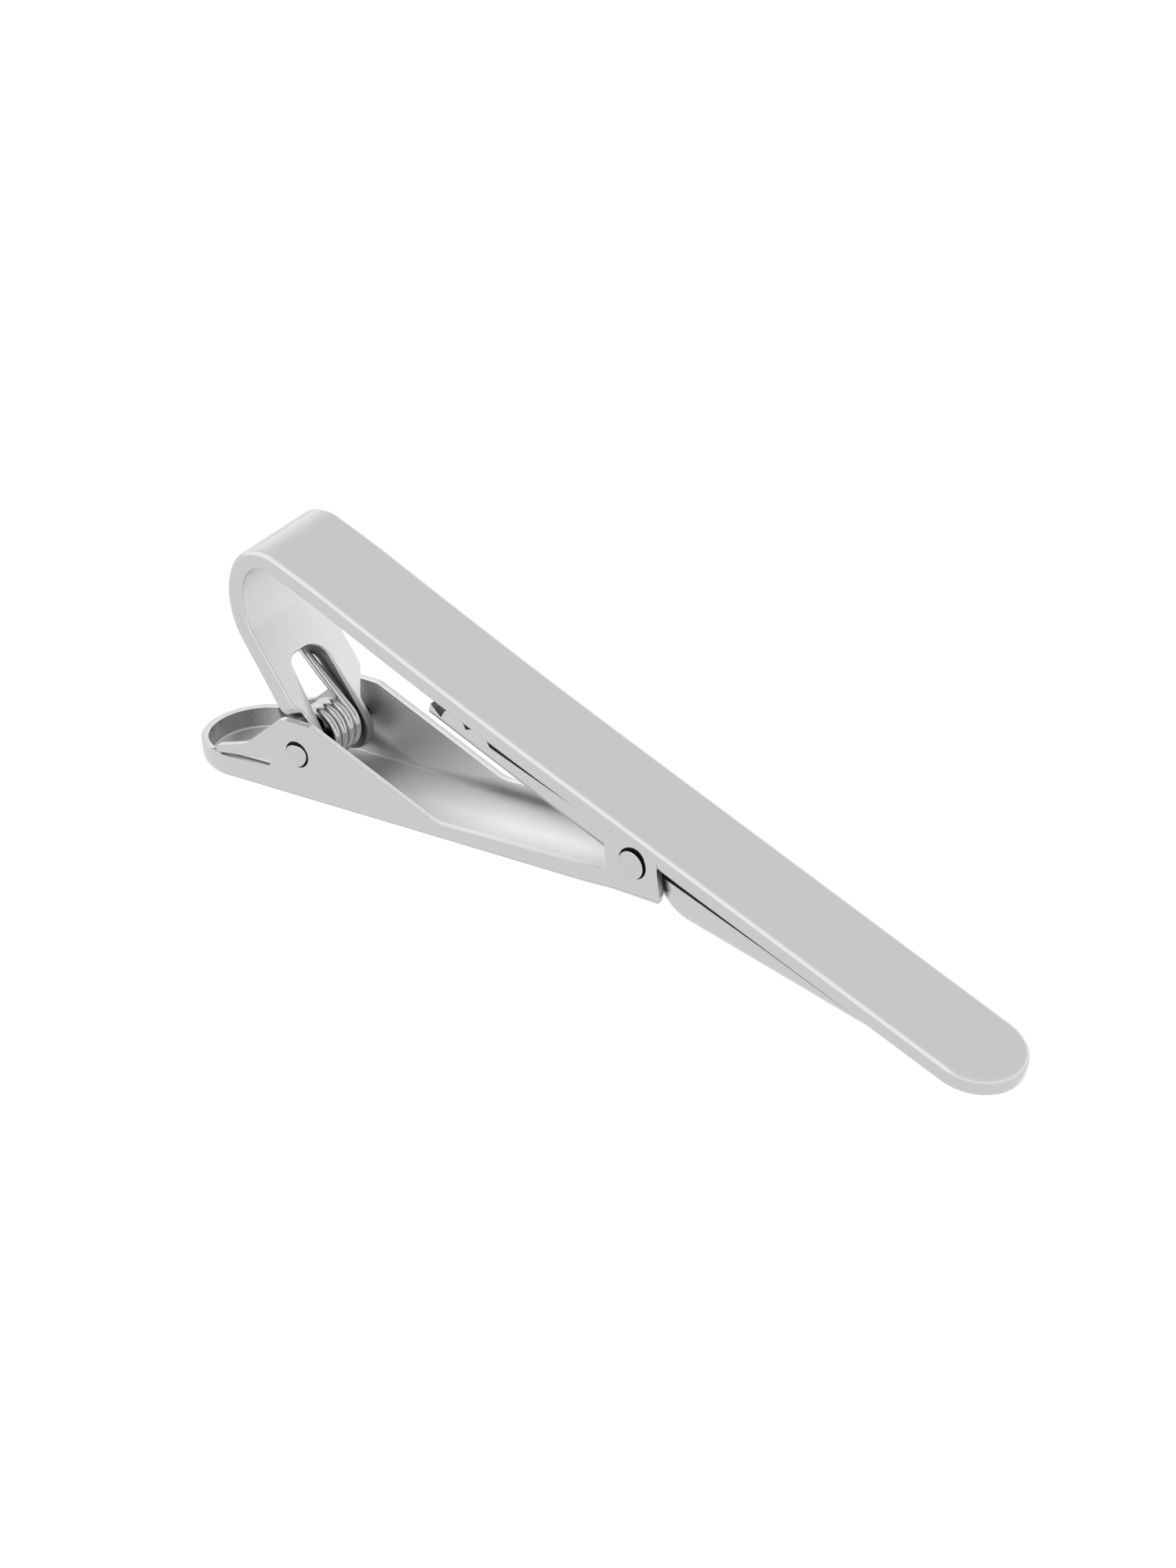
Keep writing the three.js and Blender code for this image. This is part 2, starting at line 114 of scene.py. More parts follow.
pin_line = front_pin - rear_pin
PIN_SPAN = math.sqrt((pin_line.length / MM) ** 2 - PIN_DROP ** 2)
lever_slope = math.atan2(pin_line.z, pin_line.x) + math.atan2(PIN_DROP, PIN_SPAN)
lever_x = Vector((math.cos(lever_slope), 0, math.sin(lever_slope)))
lever_view = side_view(rear_pin, lever_x)
jaw_view = side_view(front_pin, bar_x)
coil_view = side_view(rear_pin, bar_x)
lever_from_bar = lever_view.inverted() @ bar_view
coil_from_lever = coil_view.inverted() @ lever_view
print(f"rivets {PIN_SPAN:.2f} mm apart, lever floor at {math.degrees(lever_slope):.2f} degrees")

# %% [markdown]
# ## Drawing outlines
# A stamped blank is a flat outline with rounded corners. Two helpers draw one: an arc as a row of points,
# and a polygon whose corners become true arcs. Blender's curves could do this too, but plain lists of
# points are easy to bend, cut and sweep afterwards.

# %% Arcs and rounded outlines
CORNER_STEPS = 8
CORNER_ROOM = 0.49  # share of a side that one rounded corner may use up


def arc(centre, radius, start, end, steps):
    """Points on an arc, with angles in degrees and both ends included."""
    turns = [math.radians(start + (end - start) * i / steps) for i in range(steps + 1)]
    return [(centre[0] + radius * math.cos(t), centre[1] + radius * math.sin(t)) for t in turns]


def rounded_corner(before, corner, after, radius):
    """The arc that replaces one corner of an outline."""
    corner = Vector(corner)
    back = Vector(before) - corner
    ahead = Vector(after) - corner
    half = back.angle(ahead) / 2
    cut = min(radius / math.tan(half), CORNER_ROOM * min(back.length, ahead.length))
    radius = cut * math.tan(half)
    middle = corner + (back.normalized() + ahead.normalized()).normalized() * radius / math.sin(half)
    first = corner + back.normalized() * cut - middle
    last = corner + ahead.normalized() * cut - middle
    start = math.degrees(math.atan2(first.y, first.x))
    sweep = (math.degrees(math.atan2(last.y, last.x)) - start + 180) % 360 - 180
    return arc(middle, radius, start, start + sweep, CORNER_STEPS)


def rounded(corners, closed=True):
    """An outline from corners (x, y, radius); a corner without a radius stays sharp."""
    points = []
    for i, (x, y, *radius) in enumerate(corners):
        inner = closed or 0 < i < len(corners) - 1
        if radius and inner:
            before = corners[i - 1][:2]
            after = corners[(i + 1) % len(corners)][:2]
            points += rounded_corner(before, (x, y), after, radius[0])
        else:
            points.append((x, y))
    return points


sample_outline = rounded([(0, 0), (2, 0), (2, 2, 0.5), (0, 2)])
print("a sample outline of", len(sample_outline), "points")

# %% [markdown]
# ## From outlines to solids
# Three ways of making metal are enough here. A slab gives an outline its thickness, as the press does. A
# skin joins rows of points, for swept channels, turned rivets and wire. The exact boolean trims one solid
# by another. All is drawn in millimetres, because both bevels and booleans work best on numbers near one.

# %% Slabs, skins and trims
WELD = 1e-5  # points of a skin that lie closer than this become one


def join_rows(solid, rows, closed):
    """Faces between neighbouring rows of points."""
    for low, high in zip(rows, rows[1:]):
        for i in range(len(low) if closed else len(low) - 1):
            j = (i + 1) % len(low)
            solid.faces.new((low[i], low[j], high[j], high[i]))


def slab(outline, low, high, view):
    """A flat outline given thickness, drawn in x and z ("side") or in x and y ("plan")."""
    solid = bmesh.new()
    rings = []
    for level in (low, high):
        if view == "side":
            places = [(a, level, b) for a, b in outline]
        else:
            places = [(a, b, level) for a, b in outline]
        rings.append([solid.verts.new(place) for place in places])
    solid.faces.new(rings[0])
    solid.faces.new(rings[1])
    join_rows(solid, rings, closed=True)
    bmesh.ops.recalc_face_normals(solid, faces=solid.faces)
    return solid


def skin(rows, closed=True):
    """A surface through rows of points; closed rows get a cap at each end."""
    solid = bmesh.new()
    rows = [[solid.verts.new(place) for place in row] for row in rows]
    join_rows(solid, rows, closed)
    if closed:
        solid.faces.new(rows[0])
        solid.faces.new(rows[-1])
    else:
        solid.faces.new(rows[0] + rows[-1][::-1])
    bmesh.ops.remove_doubles(solid, verts=solid.verts, dist=WELD)
    bmesh.ops.recalc_face_normals(solid, faces=solid.faces)
    return solid


def new_object(name, data):
    made = bpy.data.objects.new(name, data)
    bpy.context.scene.collection.objects.link(made)
    return made


def trim(solid, tool, operation):
    """Cuts one solid by another with the exact boolean."""
    holders = []
    for name, shape in (("solid", solid), ("tool", tool)):
        mesh = bpy.data.meshes.new(name)
        shape.to_mesh(mesh)
        shape.free()
        holders.append(new_object(name, mesh))
    modifier = holders[0].modifiers.new("trim", "BOOLEAN")
    modifier.operation = operation
    modifier.solver = "EXACT"
    modifier.object = holders[1]
    result = bmesh.new()
    result.from_mesh(holders[0].evaluated_get(bpy.context.evaluated_depsgraph_get()).data)
    for holder in holders:
        bpy.data.meshes.remove(holder.data)
    return result


sample = slab(sample_outline, 0, 1, "plan")
print(f"as a slab it holds {sample.calc_volume(signed=True):.2f} cubic mm")

# %% [markdown]
# ## Soft edges and finished pieces
# No edge on real metal is perfectly sharp: the bright line along an edge is light caught by its rounding.
# A bevel is cut into the mesh itself, and a layer named edge marks it, so that a finish can show rubbing
# there. A second layer named grain keeps each point's place on the flat or unturned metal, which lets
# polishing lines follow the sheet round a bend. Weighted normals keep the flat faces flat beside the bevels.

# %% Bevels, layers and pieces
SHARP = math.radians(38)


def is_sharp(edge):
    return edge.is_manifold and edge.calc_face_angle() > SHARP


def soften(solid, choose, width, segments=3):
    """Rounds the chosen edges and marks the rounding in the edge layer."""
    rubbed = solid.verts.layers.float.get("edge") or solid.verts.layers.float.new("edge")
    result = bmesh.ops.bevel(
        solid,
        geom=[edge for edge in solid.edges if choose(edge)],
        offset=width,
        offset_type="OFFSET",
        segments=segments,
        profile=0.5,
        affect="EDGES",
        clamp_overlap=True,
    )
    fresh = set(result["faces"])
    for vert in result["verts"]:
        if all(face in fresh for face in vert.link_faces):
            vert[rubbed] = 1.0


def keep_grain(solid, place=None):
    """Stores each point's place on the unformed metal, in millimetres."""
    grain = solid.verts.layers.float_vector.get("grain") or solid.verts.layers.float_vector.new("grain")
    for vert in solid.verts:
        vert[grain] = place(vert) if place else vert.co


def finished_piece(name, solid, view, flat_faces=True):
    """Turns a drawing in millimetres into a smooth-shaded piece in the frame."""
    mesh = bpy.data.meshes.new(name)
    solid.to_mesh(mesh)
    solid.free()
    mesh.transform(view)
    mesh.polygons.foreach_set("use_smooth", [True] * len(mesh.polygons))
    piece = new_object(name, mesh)
    if flat_faces:
        mesh.set_sharp_from_angle(angle=SHARP)
        modifier = piece.modifiers.new("flat faces", "WEIGHTED_NORMAL")
        modifier.mode = "FACE_AREA"
        modifier.weight = 100
        modifier.keep_sharp = True
    print(f"{name}: {len(mesh.vertices)} points, {len(mesh.polygons)} faces")
    return piece


soften(sample, is_sharp, width=0.1)
print(f"and with soft edges {sample.calc_volume(signed=True):.2f} cubic mm")
sample.free()

# %% [markdown]
# ## The bar
# The real bar is one strip: cut flat with a round tip, a slot and two tines, tumbled so that its edges
# round over, then folded, with the tines curled into knuckles. It could be modelled folded, but then the
# bevel has to run round a bend. So it is made as in the workshop: a flat blank with rounded edges, sliced
# where it bends and folded point by point.

# %% Blank of the bar
BAR_LENGTH = 55.8
BAR_HALF = 3.0
BAR_THICKNESS = 1.1
BEND_BAR_RADIUS = 2.5
BEND_LEG_RADIUS = 4.4
LEG_ANGLE = 35.0
LEG_LENGTH = 7.3
SLOT_START = 2.3
SHOULDER_START = 4.75  # down the leg, where its sides draw in to pass between the ears
SHOULDER_ROUNDING = 0.4
TINE_ROUNDING = 0.15
FAR_SIDE = {"end": 6.4, "tine": 1.8, "slot": 1.25, "slot_top": 1.25, "corner": 1.3}
NEAR_SIDE = {"end": 5.45, "tine": 2.5, "slot": 2.1, "slot_top": 1.45, "corner": 0.7}
KNUCKLE_RADIUS = 0.48
CURL_TURN = 280.0
TIP_STEPS = 64

leg_turn = 90.0 - LEG_ANGLE
bar_bend = BEND_BAR_RADIUS * math.pi / 2
leg_bend = BEND_LEG_RADIUS * math.radians(leg_turn)
curl = KNUCKLE_RADIUS * math.radians(CURL_TURN)
leg_top = BEND_BAR_RADIUS - bar_bend - leg_bend
leg_foot = leg_top - LEG_LENGTH
strip_end = leg_foot - curl


def blank_outline():
    """Plan of the flat strip, with x running back along it from the tip."""
    sides = []
    for side in (FAR_SIDE, NEAR_SIDE):
        sides.append([
            (leg_top - SHOULDER_START, BAR_HALF, SHOULDER_ROUNDING),
            (leg_top - side["end"], side["tine"], SHOULDER_ROUNDING),
            (strip_end, side["tine"], TINE_ROUNDING),
            (strip_end, side["slot"], TINE_ROUNDING),
            (leg_top - SLOT_START, side["slot_top"], side["corner"]),
        ])
    far = sides[0]
    near = [(x, -y, radius) for x, y, radius in reversed(sides[1])]
    tip = arc((BAR_LENGTH - BAR_HALF, 0), BAR_HALF, -90, 90, TIP_STEPS)
    return tip + rounded([tip[-1], *far, *near, tip[0]], closed=False)[1:-1]


blank = slab(blank_outline(), -BAR_THICKNESS, 0, "plan")
print(f"blank {BAR_LENGTH - strip_end:.1f} mm long, {2 * BAR_HALF} mm wide")

# %% [markdown]
# ### Edges and slices
# The tumbler rounds the long edges of the bar further than the narrow tines can take. So the bevel is cut
# as wide as the tines allow, and along the bar its points are then moved inwards and down. The slices come
# in between, because a face can only bend where it has points.

# %% Round the blank's edges
FACE_ROUNDING = 0.19  # what the narrow tines can take
BACK_ROUNDING = 0.13
TOUCH = 1e-4  # a point that is this close to a level or an outline lies on it


def at_level(level):
    return lambda edge: all(abs(vert.co.z - level) < TOUCH for vert in edge.verts)


def edge_inset(vert):
    """How far a point lies inside the outline of the bar and its round tip."""
    return BAR_HALF - math.hypot(max(vert.co.x - BAR_LENGTH + BAR_HALF, 0), vert.co.y)


soften(blank, at_level(0), FACE_ROUNDING, segments=4)
rounding = min(edge_inset(vert) for vert in blank.verts if vert.co.z > -TOUCH)
soften(blank, at_level(-BAR_THICKNESS), BACK_ROUNDING)
print(f"face edges rounded by {rounding:.3f} mm")

# %% Slice the blank where it will bend
BEND_STEP = 3.0  # degrees
CURL_STEP = 10.0
BOW_LENGTH = 24.0  # the part of the bar that rises a little towards the bend
BOW_STEPS = 28
ON_PLANE = 1e-6


def score(solid, place, normal):
    """Adds points where a plane crosses a solid, without parting it."""
    bmesh.ops.bisect_plane(
        solid,
        geom=[*solid.verts, *solid.edges, *solid.faces],
        dist=ON_PLANE,
        plane_co=place,
        plane_no=normal,
    )


def slice_for_bend(solid, start, end, steps):
    for i in range(steps + 1):
        score(solid, (start + (end - start) * i / steps, 0, 0), (1, 0, 0))


slice_for_bend(blank, BOW_LENGTH, BEND_BAR_RADIUS, BOW_STEPS)
slice_for_bend(blank, BEND_BAR_RADIUS, BEND_BAR_RADIUS - bar_bend, round(90 / BEND_STEP))
slice_for_bend(blank, BEND_BAR_RADIUS - bar_bend, leg_top, round(leg_turn / BEND_STEP))
slice_for_bend(blank, leg_foot, strip_end, round(CURL_TURN / CURL_STEP))
print(f"the sliced blank has {len(blank.verts)} points")

# %% Round the long edges further
LONG_EDGE_ROUNDING = 0.32


def share(value, start, end):
    """How far a value has come from start to end, from 0 to 1."""
    return min(max((value - start) / (end - start), 0), 1)


for vert in blank.verts:
    inset = edge_inset(vert)
    if inset < rounding + TOUCH and vert.co.z > -BAR_THICKNESS / 2:
        above_tines = share(vert.co.x, leg_top - SHOULDER_START, leg_top)
        swell = (LONG_EDGE_ROUNDING / rounding - 1) * above_tines
        middle = Vector((min(vert.co.x, BAR_LENGTH - BAR_HALF), 0, 0))
        outward = Vector((vert.co.x, vert.co.y, 0)) - middle
        vert.co -= outward.normalized() * inset * swell
        vert.co.z *= 1 + swell
print(f"long edges rounded by {LONG_EDGE_ROUNDING} mm")

# %% [markdown]
# ### Marks and fold
# The slot's walls and the knuckles get painted shade, and the back of the strip is satin with a lighter
# painted tone. Layers mark those points while the blank is flat and easy to measure. The fold then walks
# along the strip: bar, tight bend, wide bend, leg, knuckle. A slight bow lifts the bar towards the bend.

# %% Mark the painted shade and the satin
PAINTED_SHADE_DEPTH = 0.6  # how dark the painted shade is on the slot walls, the knuckles and the jaw's inside
SLACK = 0.01  # how far a point may lie off a face and still count as on it
CURL_SHADE_START = 0.2  # the painted shade of the knuckles starts this far up the leg


def mark(solid, name, choose, value=1.0):
    """Sets a layer on the chosen points."""
    layer = solid.verts.layers.float.get(name) or solid.verts.layers.float.new(name)
    for vert in filter(choose, solid.verts):
        vert[layer] = value


def on_slot_wall(vert):
    x, y, z = vert.co
    behind_start = x < leg_top - SLOT_START + SLACK
    between_tines = -NEAR_SIDE["slot"] - SLACK < y < FAR_SIDE["slot"] + SLACK
    below_edge = -BAR_THICKNESS + BACK_ROUNDING / 2 < z < -FACE_ROUNDING / 2
    return behind_start and between_tines and below_edge


# painted shade on the walls of the slot and on the knuckles
mark(blank, "painted_shade", on_slot_wall, PAINTED_SHADE_DEPTH)
mark(blank, "painted_shade", lambda vert: vert.co.x < leg_foot + CURL_SHADE_START, PAINTED_SHADE_DEPTH)
# the back of the strip: satin, with a lighter painted tone
mark(blank, "satin_and_painted_light", lambda vert: vert.co.z < -BAR_THICKNESS + SLACK)
keep_grain(blank)
print("layers:", ", ".join(blank.verts.layers.float.keys()))

# %% Fold the blank
BOW_HEIGHT = 0.7
BOW_FADE = 6.0  # from here the bow fades out, round the bend


def fold(run):
    """Outer face of the folded strip at a distance along it, and the direction into the metal."""
    if run >= BEND_BAR_RADIUS:
        return Vector((run, 0)), Vector((0, -1))
    run = BEND_BAR_RADIUS - run
    if run <= bar_bend:
        turn = math.pi / 2 + run / BEND_BAR_RADIUS
        out = Vector((math.cos(turn), math.sin(turn)))
        return Vector((BEND_BAR_RADIUS, -BEND_BAR_RADIUS)) + out * BEND_BAR_RADIUS, -out
    leg_centre = Vector((BEND_LEG_RADIUS, -BEND_BAR_RADIUS))
    turn = math.pi + min(run - bar_bend, leg_bend) / BEND_LEG_RADIUS
    out = Vector((math.cos(turn), math.sin(turn)))
    place = leg_centre + out * BEND_LEG_RADIUS
    run -= bar_bend + leg_bend
    if run <= 0:
        return place, -out
    down = Vector((-out.y, out.x))
    if run <= LEG_LENGTH:
        return place + down * run, -out
    pin = place + down * LEG_LENGTH + out * KNUCKLE_RADIUS
    turn = math.radians(leg_turn) - (run - LEG_LENGTH) / KNUCKLE_RADIUS
    inward = Vector((math.cos(turn), math.sin(turn)))
    return pin + inward * KNUCKLE_RADIUS, inward


def bow(run):
    """How far the bow lifts the strip."""
    lift = BOW_HEIGHT * max(1 - run / BOW_LENGTH, 0) ** 2
    return lift * share(run, leg_top, BOW_FADE)


for vert in blank.verts:
    place, inward = fold(vert.co.x)
    lift = bow(vert.co.x)
    place = place - inward * vert.co.z
    vert.co = (place.x, vert.co.y, place.y + lift)
bar = finished_piece("folded_bar", blank, bar_view)

# %% [markdown]
# ## The lever
# The lever is a pressed channel: a floor with two walls, drawn up into tall ears round the rear rivet and
# small ears at the front, and closed at the back by a round thumb pad with a lip. A drawn channel has a
# soft bend where wall meets floor. So a deep tub is swept first, round the thumb end as well, and a side
# view then trims its walls to height, as a press tool would.

# %% Tub of the lever
LEVER_HALF = 3.2
LEVER_SHEET = 0.4
LEVER_BEND = 0.85  # outside of the bend between floor and wall
LEVER_CORNER = 0.15  # and its inside, which the press leaves tighter
FLOOR_OUT = -2.95
EAR_TOP = 2.1
FRONT_EAR_REACH = 1.85
THUMB_REACH = 8.7
MARGIN = 1.0  # by which a blank or a tool reaches past what it cuts
BEND_STEPS = 8
THUMB_STEPS = 40

floor_in = FLOOR_OUT + LEVER_SHEET
front_end = PIN_SPAN + FRONT_EAR_REACH
ear_back = PIN_SPAN - FRONT_EAR_REACH
lap_start = ear_back - FRONT_EAR_REACH


def channel_section(half, floor, rim, sheet, bend, corner):
    """Half a channel, as (distance from the middle, height): underside, wall, inside."""
    outside = arc((half - bend, floor + bend), bend, -90, 0, BEND_STEPS)
    inside = arc((half - sheet - corner, floor + sheet + corner), corner, 0, -90, BEND_STEPS)
    return [(0, floor), *outside, (half, rim), (half - sheet, rim), *inside, (0, floor + sheet)]


def lever_tub():
    section = channel_section(
        LEVER_HALF, FLOOR_OUT, EAR_TOP + MARGIN, LEVER_SHEET, LEVER_BEND, LEVER_CORNER
    )
    thumb_centre = LEVER_HALF - THUMB_REACH
    front = front_end + MARGIN
    stations = [(front, 0, -1)]
    stations += [(thumb_centre, x, y) for x, y in arc((0, 0), 1, -90, -270, THUMB_STEPS)]
    stations.append((front, 0, 1))
    rows = [[(at + x * away, y * away, height) for away, height in section] for at, x, y in stations]
    return skin(rows, closed=False)


lever = lever_tub()
print(f"tub {front_end + MARGIN + THUMB_REACH:.1f} mm long, {len(lever.faces)} faces")

# %% Side view of the lever
WALL_BACK = FLOOR_OUT + 1.22  # low wall, where the tall ear ends
WALL_FRONT = FLOOR_OUT + 1.5  # and at the front ear
EAR_TOP_FRONT = 1.2
EAR_TOP_BACK = 0.9
EAR_SLOPE_END = 9.8
EAR_KNEE = (-3.7, -0.2)
EAR_HEEL = (-5.9, -0.86)
EAR_ROUNDING = 1.1
HEEL_ROUNDING = 0.15
FRONT_EAR_GAP = 0.06
FRONT_EAR_LAP = 0.48  # the ears' outer skin laps over the bar's side
EAR_CORNERS = {"front": 0.45, "back": 0.6, "foot": 0.5}  # roundings of the front ear
CHIN = 1.0  # rounding of the front ear's lower corner
LIP_TOP = FLOOR_OUT + 1.52
LIP_ROUNDING = 0.5
SLIT_FRONT = (-2.0, -1.0)
SLIT_BACK = (EAR_HEEL[0], -1.28)
SLIT_HALF = 0.24  # at its front
SLIT_HALF_BACK = 0.06
SLIT_ROUNDING = 0.08
SLIT_MOUTH_ROUNDING = 0.1


def under_bar(x):
    """Height of the bar's underside in the lever's side view, less a small gap."""
    level = -BAR_THICKNESS - FRONT_EAR_GAP
    near = lever_from_bar @ Vector((0, 0, level))
    far = lever_from_bar @ Vector((BAR_LENGTH, 0, level))
    return near.z + (far.z - near.z) * (x - near.x) / (far.x - near.x)


def lever_side():
    below = FLOOR_OUT - MARGIN
    behind = -THUMB_REACH - MARGIN
    return rounded([
        (behind, below),
        (front_end - 2 * CHIN, below),
        (front_end - 2 * CHIN, FLOOR_OUT),
        (front_end, FLOOR_OUT, CHIN),
        (front_end, under_bar(front_end) + FRONT_EAR_LAP, EAR_CORNERS["front"]),
        (ear_back, under_bar(ear_back) + FRONT_EAR_LAP, EAR_CORNERS["back"]),
        (ear_back, WALL_FRONT, EAR_CORNERS["foot"]),
        (EAR_SLOPE_END, WALL_BACK, 2 * EAR_ROUNDING),
        (EAR_TOP_FRONT, EAR_TOP, EAR_ROUNDING),
        (-EAR_TOP_BACK, EAR_TOP, EAR_ROUNDING),
        (*EAR_KNEE, 2 * EAR_ROUNDING),
        (*EAR_HEEL, HEEL_ROUNDING),
        (SLIT_BACK[0], SLIT_BACK[1] + SLIT_HALF_BACK, SLIT_MOUTH_ROUNDING),
        (SLIT_FRONT[0], SLIT_FRONT[1] + SLIT_HALF, SLIT_ROUNDING),
        (SLIT_FRONT[0], SLIT_FRONT[1] - SLIT_HALF, SLIT_ROUNDING),
        (SLIT_BACK[0], SLIT_BACK[1] - SLIT_HALF_BACK, LIP_ROUNDING),
        (behind, LIP_TOP),
    ])


wide = LEVER_HALF + MARGIN
lever = trim(lever, slab(lever_side(), -wide, wide, "side"), "INTERSECT")
print(f"trimmed lever has {len(lever.faces)} faces")

# %% Holes and the open front of the floor
FLOOR_SETBACK = 1.8  # the floor stops behind the front rivet
SEAT_RADIUS = 0.45
HOLE_POINTS = 48

floor_end = PIN_SPAN - FLOOR_SETBACK


def circle(centre, radius):
    return arc(centre, radius, 0, 360 - 360 / HOLE_POINTS, HOLE_POINTS - 1)


def cross_hole(x, z, radius, half):
    return slab(circle((x, z), radius), -half, half, "side")


inner = LEVER_HALF - LEVER_SHEET
front = front_end + MARGIN
gap = [(floor_end, -inner), (front, -inner), (front, inner), (floor_end, inner)]
lever = trim(lever, slab(gap, FLOOR_OUT - MARGIN, floor_in + LEVER_BEND, "plan"), "DIFFERENCE")
lever = trim(lever, cross_hole(0, 0, SEAT_RADIUS, wide), "DIFFERENCE")
lever = trim(lever, cross_hole(PIN_SPAN, -PIN_DROP, SEAT_RADIUS, wide), "DIFFERENCE")
print(f"pierced lever has {len(lever.faces)} faces")

# %% [markdown]
# ### Rims, lap and recesses
# A thin outer skin of the front ears laps over the side of the bar, so their inside is cut away there. Both
# rivet heads sit in shallow recesses, struck a little off the pin holes. The rims stay crisp: a bevel is
# asked for, but the trims leave edges so short that it gets no width.

# %% Rims and the lap over the bar
RIM_ROUNDING = 0.14  # at most: the short edges that the trims leave give it no room
TOE_IN = 0.1  # the front ears are pressed in by this much, to lie close to the bar


def lap_share(vert):
    """How far up the lapped skin a point lies, from 0 at the bar's underside to 1."""
    if vert.co.x < lap_start:
        return 0.0
    return share(vert.co.z - under_bar(vert.co.x), 0, FRONT_EAR_LAP)


def is_rim(edge):
    return is_sharp(edge) and not all(lap_share(vert) > 0.5 for vert in edge.verts)


soften(lever, is_rim, RIM_ROUNDING, segments=4)
lap = [(x, under_bar(x)) for x in (lap_start, front_end + MARGIN)]
lap += [(front_end + MARGIN, EAR_TOP), (lap_start, EAR_TOP)]
bar_room = BAR_HALF + TOE_IN
lever = trim(lever, slab(lap, -bar_room, bar_room, "side"), "DIFFERENCE")
print(f"skin over the bar's side {LEVER_HALF - bar_room:.2f} mm thick")

# %% Recesses for the rivet heads
REAR_RECESS = 0.8
FRONT_RECESS = 0.97
RECESS_DEPTH = 0.08
RECESS_SHIFT = Vector((0.11, 0.12))

recess_floor = LEVER_HALF - RECESS_DEPTH
front_hole = Vector((PIN_SPAN, -PIN_DROP))
recesses = [(RECESS_SHIFT, REAR_RECESS), (front_hole + RECESS_SHIFT, FRONT_RECESS)]
for middle, radius in recesses:
    for low, high in ((-wide, -recess_floor), (recess_floor, wide)):
        lever = trim(lever, slab(circle(middle, radius), low, high, "side"), "DIFFERENCE")
print(f"recesses {RECESS_DEPTH} mm deep, {len(lever.faces)} faces")

# %% [markdown]
# ### Where shade is painted
# Painted shade darkens the recesses, the slits, the crease between wall and floor, the low bend and the
# front edges of the front ears. The inside of the tub is satin with a lighter painted tone, less so on the
# thumb pad. Scored lines across the lever keep these marks from spreading along its long faces.

# %% Scored lines
slope_part = 0.4 * EAR_SLOPE_END
low_wall_middle = 0.5 * (EAR_SLOPE_END + lap_start)
score(lever, (PIN_SPAN, 0, under_bar(PIN_SPAN)), (under_bar(0) - under_bar(1), 0, 1))
for x in (slope_part, EAR_SLOPE_END, low_wall_middle, lap_start, ear_back):
    score(lever, (x, 0, 0), (1, 0, 0))
print(f"scored lever has {len(lever.verts)} points")

# %% Painted shade and lighter satin of the lever
CREASE_REACH = 1.1 * LEVER_CORNER
LOW_BEND_REACH = 0.6 * LEVER_BEND
SLIT_OVERRUN = 0.1  # share of its length by which the painted shade runs past the slit's ends
SLIT_SPILL = 0.03


def spread(vert):
    """Distance from the lever's middle line, or from the thumb pad's middle at the round end."""
    return math.hypot(min(vert.co.x + THUMB_REACH - LEVER_HALF, 0), vert.co.y)


def in_recess(vert):
    sunk = abs(abs(vert.co.y) - recess_floor) < SLACK
    return sunk and any((vert.co.xz - middle).length < radius + SLACK for middle, radius in recesses)


def in_slit(vert):
    along = (vert.co.x - SLIT_BACK[0]) / (SLIT_FRONT[0] - SLIT_BACK[0])
    middle = SLIT_BACK[1] + (SLIT_FRONT[1] - SLIT_BACK[1]) * along
    spill = RIM_ROUNDING if spread(vert) < LEVER_HALF - LEVER_SHEET / 2 else SLIT_SPILL
    level = abs(vert.co.z - middle) < SLIT_HALF + spill
    beside = -SLIT_OVERRUN < along < 1 + SLIT_OVERRUN
    return level and beside and spread(vert) < LEVER_HALF - RIM_ROUNDING / 2


def on_front_edge(vert):
    foremost = vert.co.x > front_end - RIM_ROUNDING / 2 and lap_share(vert) == 0
    return foremost and abs(vert.co.y) < LEVER_HALF - RIM_ROUNDING / 2


def on_low_bend(vert):
    return vert.co.z < FLOOR_OUT + LOW_BEND_REACH and spread(vert) > LEVER_HALF - LEVER_BEND


def inside_tub(vert):
    return spread(vert) < LEVER_HALF - LEVER_SHEET + SLACK and vert.co.z > floor_in - SLACK


def in_crease(vert):
    low = SLACK < vert.co.z - floor_in < CREASE_REACH
    return inside_tub(vert) and low and vert.co.x > EAR_SLOPE_END


# painted shade: the low bend, the front edges of the front ears, the crease, the recesses and the slits
mark(lever, "painted_shade", on_low_bend, value=0.2)
mark(lever, "painted_shade", on_front_edge, value=0.8)
mark(lever, "painted_shade", in_crease, value=0.6)
mark(lever, "painted_shade", in_recess)
mark(lever, "painted_shade", in_slit)
# satin inside the tub, with a lighter painted tone, less on the thumb pad
mark(lever, "satin_and_painted_light", inside_tub)
mark(lever, "satin_and_painted_light", lambda vert: inside_tub(vert) and vert.co.x < EAR_KNEE[0], value=0.3)
print("points in the slits:", len(list(filter(in_slit, lever.verts))))

# %% [markdown]
# ### Forming of the front ears
# A last press pushes the front ears in towards the bar, thins the lapped skin to its edge, and lets the ears
# hang a little lower where no floor holds them. These small moves of points fade in, so nothing is cut.

# %% Press the front ears
LAP_TAPER = 0.95
EAR_DROOP = 0.28
CHIN_LIFT = 0.8  # the share of the droop that the rounded corner takes back

